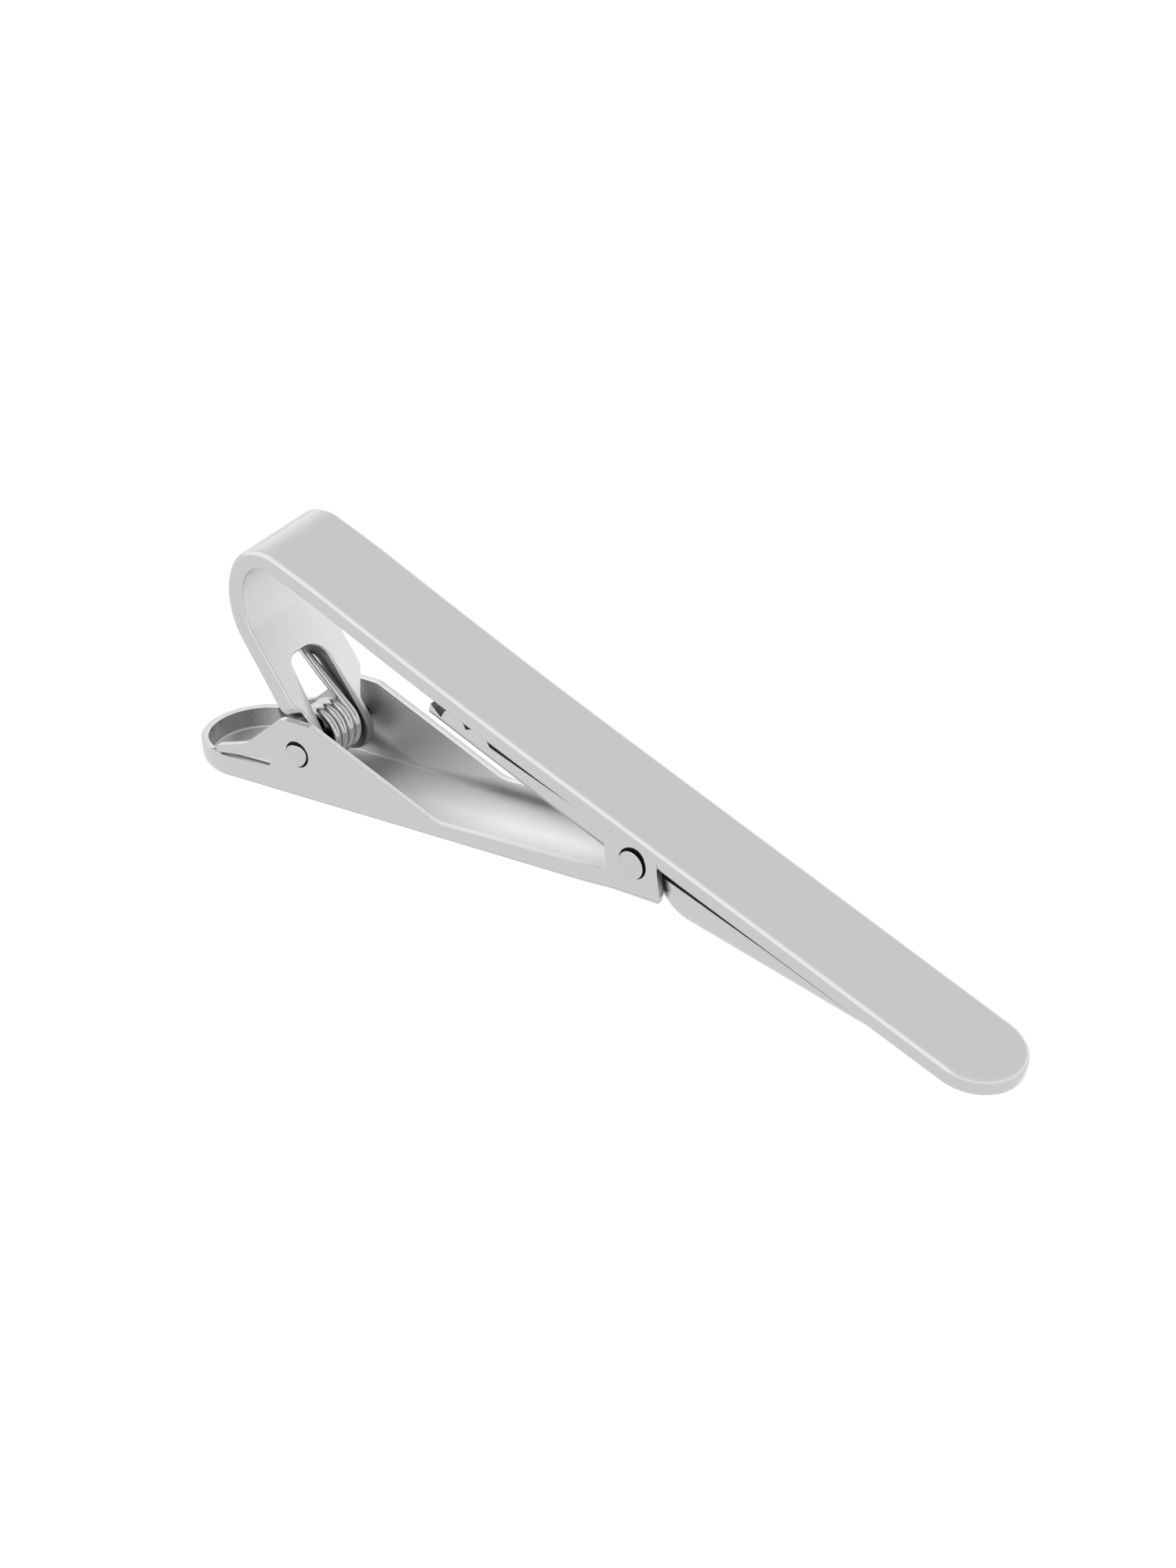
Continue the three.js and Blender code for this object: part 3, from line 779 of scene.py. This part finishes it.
for vert in lever.verts:
    away = abs(vert.co.y)
    if away > bar_room:
        away = bar_room + (away - bar_room) * (1 - LAP_TAPER * lap_share(vert))
    wall = share(away, LEVER_HALF - LEVER_BEND, LEVER_HALF - LEVER_SHEET)
    low = share(vert.co.z, FLOOR_OUT + LEVER_BEND, FLOOR_OUT)
    vert.co.y = math.copysign(away - TOE_IN * wall * share(vert.co.x, lap_start, ear_back), vert.co.y)
    droop = EAR_DROOP * share(vert.co.x, floor_end, front_end - CHIN)
    vert.co.z -= droop * low * (1 - CHIN_LIFT * share(vert.co.x, front_end - CHIN, front_end))
keep_grain(lever)
clasp_lever = finished_piece("pressed_lever", lever, lever_view)

# %% [markdown]
# ## The jaw
# The jaw is a narrower channel that hangs upside down from the bar's point of view: its open side faces
# the bar, its keel is deepest at the rivet, and its rear edges carry rounded teeth that hold cloth.
# It is swept like the lever's tub, along stations whose height follows the keel, and trimmed by a side
# view for teeth and edges and by a plan for the round tip.

# %% Channel of the jaw
JAW_HALF = 2.55
JAW_SHEET = 0.4
JAW_BEND = 0.75
JAW_CORNER = 0.2
JAW_REAR = -15.5
JAW_FRONT = 19.0
JAW_RISE = 0.64
KEEL = ((-5.0, -1.04, 20.0), (1.7, -1.1, 2.5), (3.3, -1.88, 2.5))  # corners and their roundings
KEEL_REAR = -0.8
KEEL_TIP = 0.24

jaw_room = 4 * JAW_RISE
keel = rounded([(JAW_REAR, KEEL_REAR), *KEEL, (JAW_FRONT, KEEL_TIP)], closed=False)
half = channel_section(JAW_HALF, 0, jaw_room, JAW_SHEET, JAW_BEND, JAW_CORNER)
loop = half + [(-away, height) for away, height in half[::-1]]
jaw = skin([[(x, away, height + low) for away, height in loop] for x, low in keel])
print(f"jaw channel {JAW_FRONT - JAW_REAR} mm long, {len(jaw.faces)} faces")

# %% Teeth and trims of the jaw
JAW_EDGE_FRONT = 0.14
JAW_EDGE_MIDDLE = (9.6, 0.36, 20.0)  # place and rounding
JAW_EDGE_TIP = 0.42
JAW_EDGE_REAR = 0.42
JAW_EDGE_BACK = -5.0
JAW_BACK_ROUNDING = 4.0
JAW_EAR = 1.5
JAW_EAR_ROUNDING = {"front": 0.12, "back": 0.08}
JAW_VALLEY = 0.2
JAW_NOTCH = -0.2  # behind the last tooth
TOOTH_COUNT = 2
TOOTH_PITCH = 1.76
TOOTH_SETBACK = 1.76
TOOTH_STEPS = 8
PIVOT_RADIUS = 0.48


def tooth_edge():
    """Rounded teeth from the plain edge back to the jaw's rear end."""
    points = []
    for tooth in range(TOOTH_COUNT - 1, -1, -1):
        tip = JAW_REAR + TOOTH_SETBACK + tooth * TOOTH_PITCH
        for i in range(-TOOTH_STEPS, TOOTH_STEPS):
            lift = 1 - (i / TOOTH_STEPS) ** 2
            height = JAW_VALLEY + (JAW_RISE - JAW_VALLEY) * lift
            points.append((tip - i / TOOTH_STEPS * TOOTH_PITCH / 2, height))
    return points + [(JAW_REAR + TOOTH_SETBACK - TOOTH_PITCH / 2, JAW_NOTCH), (JAW_REAR, JAW_VALLEY)]


def jaw_side():
    plain = rounded([
        (JAW_FRONT, -jaw_room),
        (JAW_FRONT, JAW_EDGE_TIP),
        JAW_EDGE_MIDDLE,
        (JAW_EAR, JAW_EDGE_FRONT, JAW_EAR_ROUNDING["front"]),
        (JAW_EAR, JAW_RISE, JAW_EAR_ROUNDING["front"]),
        (-JAW_EAR, JAW_RISE, JAW_EAR_ROUNDING["back"]),
        (-JAW_EAR, JAW_EDGE_REAR, JAW_EAR_ROUNDING["back"]),
        (JAW_EDGE_BACK, JAW_EDGE_REAR, JAW_BACK_ROUNDING),
        tooth_edge()[0],
    ], closed=False)
    return plain + tooth_edge()[1:] + [(JAW_REAR, -jaw_room)]


def jaw_plan():
    tip = arc((JAW_FRONT - JAW_HALF, 0), JAW_HALF, -90, 90, TIP_STEPS)
    behind = JAW_REAR - MARGIN
    side = JAW_HALF + MARGIN
    tip_start = JAW_FRONT - JAW_HALF
    return [(behind, -side), (tip_start, -side), *tip, (tip_start, side), (behind, side)]


jaw = trim(jaw, slab(jaw_side(), -JAW_HALF - MARGIN, JAW_HALF + MARGIN, "side"), "INTERSECT")
jaw = trim(jaw, slab(jaw_plan(), -jaw_room, jaw_room, "plan"), "INTERSECT")
jaw = trim(jaw, cross_hole(0, 0, PIVOT_RADIUS, JAW_HALF + MARGIN), "DIFFERENCE")
print(f"trimmed jaw has {len(jaw.faces)} faces")

# %% Edges and painted shade of the jaw
JAW_ROUNDING = 0.06  # at most: the short edges at the teeth leave room for far less
FACES_DOWN = -0.3  # a point whose normal dips below this is on the outside


def inside_jaw(vert):
    return abs(vert.co.y) < JAW_HALF - JAW_SHEET + SLACK and vert.normal.z > FACES_DOWN


soften(jaw, is_sharp, JAW_ROUNDING)
jaw.normal_update()
# painted shade inside the jaw's channel, which darkens the gap under the bar
mark(jaw, "painted_shade", inside_jaw, PAINTED_SHADE_DEPTH)
keep_grain(jaw)
clasp_jaw = finished_piece("toothed_jaw", jaw, jaw_view)

# %% [markdown]
# ## The rivets
# Each hinge is a short rivet, turned from rod and headed at both ends. The heads sit almost flush in
# shallow recesses of the ears, and the dark gap on one side is what the eye reads as a rivet. The front
# head is round and flat, the rear one was peened by hand, so it is domed and not quite round. A lathe
# profile of radius and height, turned in small steps, gives both.

# %% Turned rivets
SHANK_RADIUS = 0.42
RIVET_STEPS = 72
RIM_STEPS = 5
FACE_RINGS = (0.75, 0.5, 0.25, 0.02)  # shares of the radius of a head's face
FLAT_HEAD = {"head_radius": 0.86, "proud": 0.08, "rim": 0.05, "crown": 0.0, "wobble": 0.0}
PEENED_HEAD = {"head_radius": 0.7, "proud": 0.06, "rim": 0.07, "crown": 0.05, "wobble": 0.05}


def rivet(name, view, ears, head_radius, proud, rim, crown, wobble):
    """A rivet along y: rim rounds its heads, crown domes them, wobble takes them out of round."""
    seat = ears - RECESS_DEPTH + SLACK
    shoulder = ears + proud - crown - rim
    corner = arc((head_radius - rim, shoulder), rim, 0, 90, RIM_STEPS)
    face = []
    for part in FACE_RINGS:
        face.append(((head_radius - rim) * part, shoulder + rim + crown * (1 - part ** 2)))
    half = [(SHANK_RADIUS, seat), (head_radius, seat), *corner, *face]
    profile = [(radius, -along) for radius, along in half[::-1]] + half
    rows = []
    for radius, along in profile:
        row = []
        for i in range(RIVET_STEPS):
            turn = 2 * math.pi * i / RIVET_STEPS
            out = radius * (1 + wobble * (math.sin(2 * turn + 1) + math.sin(3 * turn)))
            row.append((out * math.cos(turn), along, out * math.sin(turn)))
        rows.append(row)
    solid = skin(rows)
    # painted shade on each head's side and underside and on the shank, in the gap round the head
    mark(solid, "painted_shade", lambda vert: abs(vert.co.y) < shoulder + TOUCH)
    keep_grain(solid)
    return finished_piece(name, solid, view)


front_view = lever_view @ Matrix.Translation((PIN_SPAN, 0, -PIN_DROP))
front_rivet = rivet("front_rivet", front_view, LEVER_HALF - TOE_IN, **FLAT_HEAD)
rear_rivet = rivet("rear_rivet", lever_view, LEVER_HALF, **PEENED_HEAD)

# %% [markdown]
# ## The spring
# A torsion spring is one drawn wire: an arm that passes through the slot and presses on the outside of
# the leg, three and a bit turns round the rivet, and a second arm that presses on the thumb pad. A curve
# with a bevel would make a tube, but the ends of the wire then stay sharp. Rings of points are swept along
# the path instead, and shrink at both ends into a rounded cut.

# %% Arms and turns of the spring
WIRE_RADIUS = 0.27
COIL_RADIUS = 1.35
COIL_PITCH = 0.56
COIL_SHIFT = Vector((-0.3, 0.14))  # its arms push it back on the rivet
WHOLE_TURNS = 3
ARM_STANDOFF = 0.55  # middle of the wire to the face that it presses on
LEG_ARM_BEARING = 1.3
THUMB_ARM_REACH = 6.0


def on_leg(down):
    """A point of the arm outside the leg, in the coil's side view."""
    place, inward = fold(leg_top - down)
    pin = fold(leg_foot)[0] - fold(leg_foot)[1] * KNUCKLE_RADIUS
    return place - inward * ARM_STANDOFF - pin - COIL_SHIFT


leg_arm_end = on_leg(SLOT_START - LEG_ARM_BEARING)
thumb_end = (coil_from_lever @ Vector((-THUMB_ARM_REACH, 0, floor_in + ARM_STANDOFF))).xz - COIL_SHIFT
leg_angle = math.atan2(leg_arm_end.y, leg_arm_end.x) % (2 * math.pi)
thumb_angle = math.atan2(thumb_end.y, thumb_end.x) % (2 * math.pi)
coil_start = leg_angle - math.acos(COIL_RADIUS / leg_arm_end.length)
coil_end = thumb_angle + math.acos(COIL_RADIUS / thumb_end.length) - 2 * math.pi * (WHOLE_TURNS + 1)
coil_turns = (coil_start - coil_end) / (2 * math.pi)
coil_half = coil_turns * COIL_PITCH / 2
print(f"coil of {coil_turns:.2f} turns, {2 * (coil_half + WIRE_RADIUS):.2f} mm wide")

# %% Path of the wire
COIL_STEPS = 150
EASE = 0.06  # share of the coil over which the pitch starts and stops


def eased(part):
    """Rises from 0 to 1 with a steady middle and soft ends."""
    ramp = min(part, 1 - part, EASE)
    gained = ramp * ramp / (2 * EASE) + max(min(part, 1 - part) - EASE, 0)
    gained /= 1 - EASE
    return gained if part < 0.5 else 1 - gained


path = [Vector((leg_arm_end.x, coil_half, leg_arm_end.y))]
for i in range(COIL_STEPS + 1):
    turn = coil_start + (coil_end - coil_start) * (i / COIL_STEPS)
    side = coil_half - 2 * coil_half * eased(i / COIL_STEPS)
    path.append(Vector((COIL_RADIUS * math.cos(turn), side, COIL_RADIUS * math.sin(turn))))
path.append(Vector((thumb_end.x, -coil_half, thumb_end.y)))
wire_length = sum((after - before).length for before, after in zip(path, path[1:]))
print(f"{wire_length:.1f} mm of wire")

# %% Sweep the wire
WIRE_SIDES = 20
WIRE_END = ((0.0, 0.35), (0.03, 0.75), (0.09, 0.95), (0.18, 1.0))  # from the cut, share of the radius
COIL_ASIDE = -0.06  # the coil sits nearer to one ear


def wire_rows():
    """Rings round the path, which shrink at both ends into a rounded cut."""
    first = (path[1] - path[0]).normalized()
    last = (path[-2] - path[-1]).normalized()
    centres = [(path[0] + first * at, size) for at, size in WIRE_END]
    centres += [(place, 1.0) for place in path[1:-1]]
    centres += [(path[-1] + last * at, size) for at, size in reversed(WIRE_END)]
    rows = []
    for i, (centre, size) in enumerate(centres):
        before = centres[max(i - 1, 0)][0]
        after = centres[min(i + 1, len(centres) - 1)][0]
        along = (after - before).normalized()
        outward = along.cross(ACROSS).normalized()
        beside = outward.cross(along)
        ring = []
        for k in range(WIRE_SIDES):
            turn = 2 * math.pi * k / WIRE_SIDES
            rim = outward * math.cos(turn) + beside * math.sin(turn)
            ring.append(centre + rim * WIRE_RADIUS * size)
        rows.append(ring)
    return rows


def wire_grain(vert):
    """Distance along the wire, and the share of a turn round it."""
    ring_gap = 2 * math.pi * COIL_RADIUS * coil_turns / COIL_STEPS
    return Vector((vert.index // WIRE_SIDES * ring_gap, vert.index % WIRE_SIDES / WIRE_SIDES, 0))


wire = skin(wire_rows())
wire.verts.index_update()
# painted shade on the inside of the coil, next to the rivet
mark(wire, "painted_shade", lambda vert: vert.co.xz.length < COIL_RADIUS - WIRE_RADIUS / 3)
keep_grain(wire, wire_grain)
spring_view = coil_view @ Matrix.Translation((COIL_SHIFT.x, COIL_ASIDE, COIL_SHIFT.y))
spring = finished_piece("wound_spring", wire, spring_view, flat_faces=False)

# %% [markdown]
# ## Arithmetic on shader sockets
# A finish is a small calculation at every point of a surface: some grain, some haze, a little less gloss.
# Wiring Math nodes by hand hides that sum. A thin class wraps an output socket and turns Python's
# operators into Math nodes, so the sum can be read, and one method makes every other node: settings first,
# then the values or links of its sockets.

# %% Signals and finishes


class Signal:
    """An output socket that can be used in Python arithmetic."""

    def __init__(self, finish, socket):
        self.finish = finish
        self.socket = socket

    def maths(self, operation, first, second):
        return self.finish.node("ShaderNodeMath", {"operation": operation}, {0: first, 1: second})

    def __add__(self, other):
        return self.maths("ADD", self, other)

    def __sub__(self, other):
        return self.maths("SUBTRACT", self, other)

    def __rsub__(self, other):
        return self.maths("SUBTRACT", other, self)

    def __mul__(self, other):
        return self.maths("MULTIPLY", self, other)

    __radd__ = __add__
    __rmul__ = __mul__


class Finish:
    """A node tree with one method that makes any node."""

    def __init__(self, tree):
        self.tree = tree
        tree.nodes.clear()

    def node(self, kind, settings, sockets, output=0):
        made = self.tree.nodes.new(kind)
        for name, value in settings.items():
            setattr(made, name, value)
        for name, value in sockets.items():
            if isinstance(value, Signal):
                self.tree.links.new(value.socket, made.inputs[name])
            else:
                made.inputs[name].default_value = value
        return Signal(self, made.outputs[output]) if made.outputs else None

    def layer(self, name, output):
        return self.node("ShaderNodeAttribute", {"attribute_name": name}, {}, output)

    def scaled(self, vector, scale):
        return self.node("ShaderNodeVectorMath", {"operation": "MULTIPLY"}, {0: vector, 1: scale})

    def noise(self, vector, scale, detail=3.0):
        sockets = {"Vector": self.scaled(vector, scale), "Scale": 1.0, "Detail": detail}
        return self.node("ShaderNodeTexNoise", {}, sockets)

    def step(self, signal, low, high):
        sockets = {"Value": signal, "From Min": low, "From Max": high}
        return self.node("ShaderNodeMapRange", {"interpolation_type": "SMOOTHSTEP"}, sockets)

    def mix(self, factor, first, second):
        """A colour between two colours."""
        return self.node("ShaderNodeMix", {"data_type": "RGBA"}, {0: factor, 6: first, 7: second}, 2)


def new_finish(name):
    material = bpy.data.materials.new(name)
    material.use_nodes = True
    return material, Finish(material.node_tree)


def grey(value, warmth=0.0):
    return (value * (1 + warmth), value, value * (1 - warmth), 1)


# %% [markdown]
# ## Bright plate
# The bar, the lever and the jaw are chromed and buffed. From a hand's distance the plate is a plain mirror.
# Close up it carries hairlines from the wheel, a thin haze where fingers rubbed it, and edges rubbed brighter.
# Painted shade darkens narrow gaps. The inside of a bend is satin with a lighter painted tone. The hairlines
# are stretched noise on the grain layer, so that they follow the sheet round its bends.

# %% Metal with painted shade in its gaps
# colour and extra roughness of the painted shade
PAINTED_SHADE_TONE = 0.015
PAINTED_SHADE_BLUR = 0.5
BUMP_DISTANCE = 2e-6  # metres


def metal(finish, colour, roughness, height, depth):
    """Ends a finish: a metal with bumps of the given height pattern, and painted shade where its layer marks it.
    """
    # painted shade: marked points are mixed towards near black, where gaps and turned-away faces lie in shade
    painted_shade = finish.layer("painted_shade", "Fac")
    bumps = {"Strength": depth, "Distance": BUMP_DISTANCE, "Height": height}
    normal = finish.node("ShaderNodeBump", {}, bumps)
    sockets = {
        "Base Color": finish.mix(painted_shade, colour, grey(PAINTED_SHADE_TONE)),
        "Metallic": 1.0,
        "Roughness": roughness + PAINTED_SHADE_BLUR * painted_shade,
        "Normal": normal,
    }
    shader = finish.node("ShaderNodeBsdfPrincipled", {}, sockets)
    finish.node("ShaderNodeOutputMaterial", {}, {"Surface": shader})


# %% Plated finishes
CHROME = 0.58
HAIRLINE_DEPTH = 0.05
LINE_BLUR = 0.02
LINE_HEIGHT = 0.7
HAIR_TURN = math.radians(24)  # stray scratches run across the buffing lines
HAIR_BLUR = 0.03
HAIR_HEIGHT = 0.6
RUB_GLOSS = 0.02
RUB_LIGHT = 1.05
HAZE_DIM = 0.985


def plated(name, gloss, haze_amount, painted_light_satin_tone, satin_blur):
    material, finish = new_finish(name)
    grain = finish.layer("grain", "Vector")
    rubbed = finish.layer("edge", "Fac")
    satin_and_painted_light = finish.layer("satin_and_painted_light", "Fac")
    haze = finish.step(finish.noise(grain, scale=(0.16, 0.42, 0.42), detail=4.0), low=0.32, high=0.72)
    lines = finish.noise(grain, scale=(0.35, 19.0, 19.0), detail=2.0)
    turn = {"Vector": grain, "Angle": HAIR_TURN}
    turned = finish.node("ShaderNodeVectorRotate", {"rotation_type": "Z_AXIS"}, turn)
    hair = finish.step(finish.noise(turned, scale=(0.22, 11.0, 0.22), detail=2.0), low=0.68, high=0.74)
    roughness = gloss + haze_amount * haze + LINE_BLUR * lines + HAIR_BLUR * hair
    roughness = roughness - RUB_GLOSS * rubbed + satin_blur * satin_and_painted_light
    colour = finish.mix(haze, grey(CHROME, warmth=0.004), grey(CHROME * HAZE_DIM, warmth=-0.004))
    colour = finish.mix(rubbed, colour, grey(CHROME * RUB_LIGHT))
    # satin areas take a lighter painted tone, which stands in for light inside the bends and the tub
    colour = finish.mix(satin_and_painted_light, colour, grey(painted_light_satin_tone))
    metal(finish, colour, roughness, lines * LINE_HEIGHT + hair * HAIR_HEIGHT, HAIRLINE_DEPTH)
    return material


bar_finish = plated("buffed chrome", gloss=0.08, haze_amount=0.03, painted_light_satin_tone=0.75, satin_blur=0.4)
clasp_finish = plated("pressed chrome", gloss=0.17, haze_amount=0.06, painted_light_satin_tone=0.88, satin_blur=0.25)
print(f"{bar_finish.name} has {len(bar_finish.node_tree.nodes)} nodes")

# %% [markdown]
# ## Turned and drawn metal
# A rivet's head keeps fine rings from the lathe, and wire keeps lines from the die that it was drawn
# through. Both are noise again, but on other coordinates: the rings depend only on the distance from the
# rivet's axis, and the die lines run along the wire and change only round it.

# %% Rivet finish
RIVET_GLOSS = 0.1
RING_BLUR = 0.06
BLOTCH_BLUR = 0.08
BLOTCH_DIM = 0.95

rivet_finish, finish = new_finish("turned chrome")
grain = finish.layer("grain", "Vector")
flat = finish.scaled(grain, (1, 0, 1))
radius = finish.node("ShaderNodeVectorMath", {"operation": "LENGTH"}, {0: flat}, "Value")
rings = finish.node("ShaderNodeTexNoise", {"noise_dimensions": "1D"}, {"W": radius, "Scale": 30.0})
blotch = finish.noise(grain, scale=(1.7, 1.7, 1.7))
roughness = RIVET_GLOSS + RING_BLUR * rings + BLOTCH_BLUR * blotch
colour = finish.mix(blotch, grey(CHROME), grey(CHROME * BLOTCH_DIM))
metal(finish, colour, roughness, height=rings, depth=0.15)
print(f"{rivet_finish.name} has {len(rivet_finish.node_tree.nodes)} nodes")

# %% Wire finish
WIRE_GLOSS = 0.09
DIE_BLUR = 0.07
STAIN_BLUR = 0.08
STAIN_DIM = 0.9

wire_finish, finish = new_finish("drawn wire")
grain = finish.layer("grain", "Vector")
lines = finish.noise(grain, scale=(0.4, 26.0, 1.0), detail=2.0)
stain = finish.step(finish.noise(grain, scale=(0.7, 2.0, 1.0)), low=0.45, high=0.75)
roughness = WIRE_GLOSS + DIE_BLUR * lines + STAIN_BLUR * stain
colour = finish.mix(stain, grey(CHROME), grey(CHROME * STAIN_DIM, warmth=0.02))
metal(finish, colour, roughness, height=lines, depth=0.2)
print("finishes:", ", ".join(material.name for material in bpy.data.materials))

# %% [markdown]
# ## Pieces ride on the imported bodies
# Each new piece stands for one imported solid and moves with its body. The spring belongs to two bodies: the
# arm in the slot stays with the leg and the other arm goes with the thumb pad, so the wire blends from
# one to the other across the width of the coil and winds up as the lever opens.

# %% Bodies, slots and replaced solids


def dress(piece, finish, node, body=None):
    piece.data.materials.append(finish)
    if body:
        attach(piece, body)
    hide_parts(node)
    print(piece.name, "replaces", node)


coil_end_left = rear_pin + ACROSS * (COIL_ASIDE + coil_half - WIRE_RADIUS) * MM
coil_end_right = rear_pin + ACROSS * (COIL_ASIDE - coil_half + WIRE_RADIUS) * MM
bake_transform(spring, "bar_body", "lever_body", start=coil_end_left, end=coil_end_right)
dress(bar, bar_finish, "front_bar", "bar_body")
dress(clasp_lever, clasp_finish, "clip_lever", "lever_body")
dress(clasp_jaw, clasp_finish, "grip_jaw", "jaw_body")
dress(front_rivet, rivet_finish, "front_hinge_pin", "lever_body")
dress(rear_rivet, rivet_finish, "rear_hinge_pin", "lever_body")
dress(spring, wire_finish, "torsion_spring")

# %% [markdown]
# ## Camera
# The photograph shows no convergence at all: the bar's edges stay parallel from end to end. That is a long
# lens far away, and an orthographic camera gives the same picture. Its direction and scale were measured
# from the bar and the rivets, and one known point of the bar fixes where the picture's middle falls.

# %% Orthographic camera
PHOTO_SIZE = (1500, 2000)
PIXELS_PER_MM = 22.93
FACE_POINT_PIXEL = (824.35, 1016.88)
VIEW_AZIMUTH = math.radians(39.26)
VIEW_ELEVATION = math.radians(32.06)
CAMERA_DISTANCE = 0.5

to_camera = Vector((
    math.sin(VIEW_AZIMUTH) * math.cos(VIEW_ELEVATION),
    -math.cos(VIEW_AZIMUTH) * math.cos(VIEW_ELEVATION),
    math.sin(VIEW_ELEVATION),
))
right = Vector((math.cos(VIEW_AZIMUTH), math.sin(VIEW_AZIMUTH), 0))
up = to_camera.cross(right)
pixel = MM / PIXELS_PER_MM
middle = face_point + right * (PHOTO_SIZE[0] / 2 - FACE_POINT_PIXEL[0]) * pixel
middle += up * (FACE_POINT_PIXEL[1] - PHOTO_SIZE[1] / 2) * pixel
camera = new_object("camera", bpy.data.cameras.new("camera"))
camera.data.type = "ORTHO"
camera.data.ortho_scale = PHOTO_SIZE[1] * pixel
camera.data.clip_start = 0.01
camera.matrix_world = Matrix.Translation(middle + to_camera * CAMERA_DISTANCE) @ (
    Matrix((right, up, to_camera)).transposed().to_4x4()
)
bpy.context.scene.camera = camera
print("camera looks at", [round(value / MM, 2) for value in middle], "mm")

# %% [markdown]
# ## Floor and light
# A mirror shows its surroundings, so lighting polished metal means choosing what it reflects. A studio lays
# small bright things on clear glass a little above a light table: white acrylic that glows and swallows
# shadows. The glass can be left out, and the space gives the lever room to open. Over the table stands a
# white tent, brighter towards the horizon, and a soft lamp draws the white line along the bar's edge.

# %% Light table
TABLE_SIZE = 1.6
TABLE_DROP = 0.009
TABLE_ALBEDO = 0.02
TABLE_GLOW = 1.0
CLOUD_DIM = 0.01

half = TABLE_SIZE / 2
table_plan = [(-half, -half), (half, -half), (half, half), (-half, half)]
table_mesh = bpy.data.meshes.new("table")
table_mesh.from_pydata([(x, y, -TABLE_DROP) for x, y in table_plan], [], [(0, 1, 2, 3)])
table = new_object("table", table_mesh)
acrylic, finish = new_finish("white acrylic")
position = finish.node("ShaderNodeNewGeometry", {}, {}, "Position")
cloudy = finish.noise(position, scale=(30, 30, 30))
sockets = {
    "Base Color": finish.mix(cloudy, grey(TABLE_ALBEDO), grey(TABLE_ALBEDO - CLOUD_DIM)),
    "Roughness": 0.9,
    "Specular IOR Level": 0.0,
    "Emission Color": grey(1.0),
    "Emission Strength": TABLE_GLOW,
}
shader = finish.node("ShaderNodeBsdfPrincipled", {}, sockets)
finish.node("ShaderNodeOutputMaterial", {}, {"Surface": shader})
table_mesh.materials.append(acrylic)
table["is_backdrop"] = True
print(f"table {TABLE_DROP / MM:.0f} mm below the clip")

# %% Tent and lamp
TENT_LEVEL = 0.98
HORIZON_LIFT = 0.25
LAMP_LEVEL = 1.33
LAMP_DIRECTION = Vector((-0.5, -0.62, 0.5)).normalized()
LAMP_EDGE = (math.radians(48), math.radians(28))

scene = bpy.context.scene
scene.view_settings.view_transform = "Standard"
scene.world = bpy.data.worlds.new("tent")
scene.world.use_nodes = True
tent = Finish(scene.world.node_tree)
direction = tent.node("ShaderNodeTexCoord", {}, {}, "Generated")


def facing(axis):
    """How far a direction of the tent points along an axis, from -1 to 1."""
    settings = {"operation": "DOT_PRODUCT"}
    return tent.node("ShaderNodeVectorMath", settings, {0: direction, 1: axis}, "Value")


horizon = 1 - tent.step(facing((0, 0, 1)), low=0.15, high=0.75)
lamp = tent.step(facing(LAMP_DIRECTION), math.cos(LAMP_EDGE[0]), math.cos(LAMP_EDGE[1]))
level = TENT_LEVEL + HORIZON_LIFT * horizon
level = level + (LAMP_LEVEL - level) * lamp
background = tent.node("ShaderNodeBackground", {}, {"Color": grey(1.0), "Strength": level})
tent.node("ShaderNodeOutputWorld", {}, {"Surface": background})
print(f"tent {TENT_LEVEL} overhead, {TENT_LEVEL + HORIZON_LIFT} low down, lamp {LAMP_LEVEL}")

# %% [markdown]
# ## Measure
# Two boxes are printed, of the imported solids and of the new pieces, for the clip's size and place.

# %% Measure and finish
size = {
    "cad": [list(corner) for corner in cad_box],
    "visual": [list(corner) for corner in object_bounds()],
}
for name, corners in size.items():
    print(name, "box in mm:", [[round(value / MM, 2) for value in corner] for corner in corners])
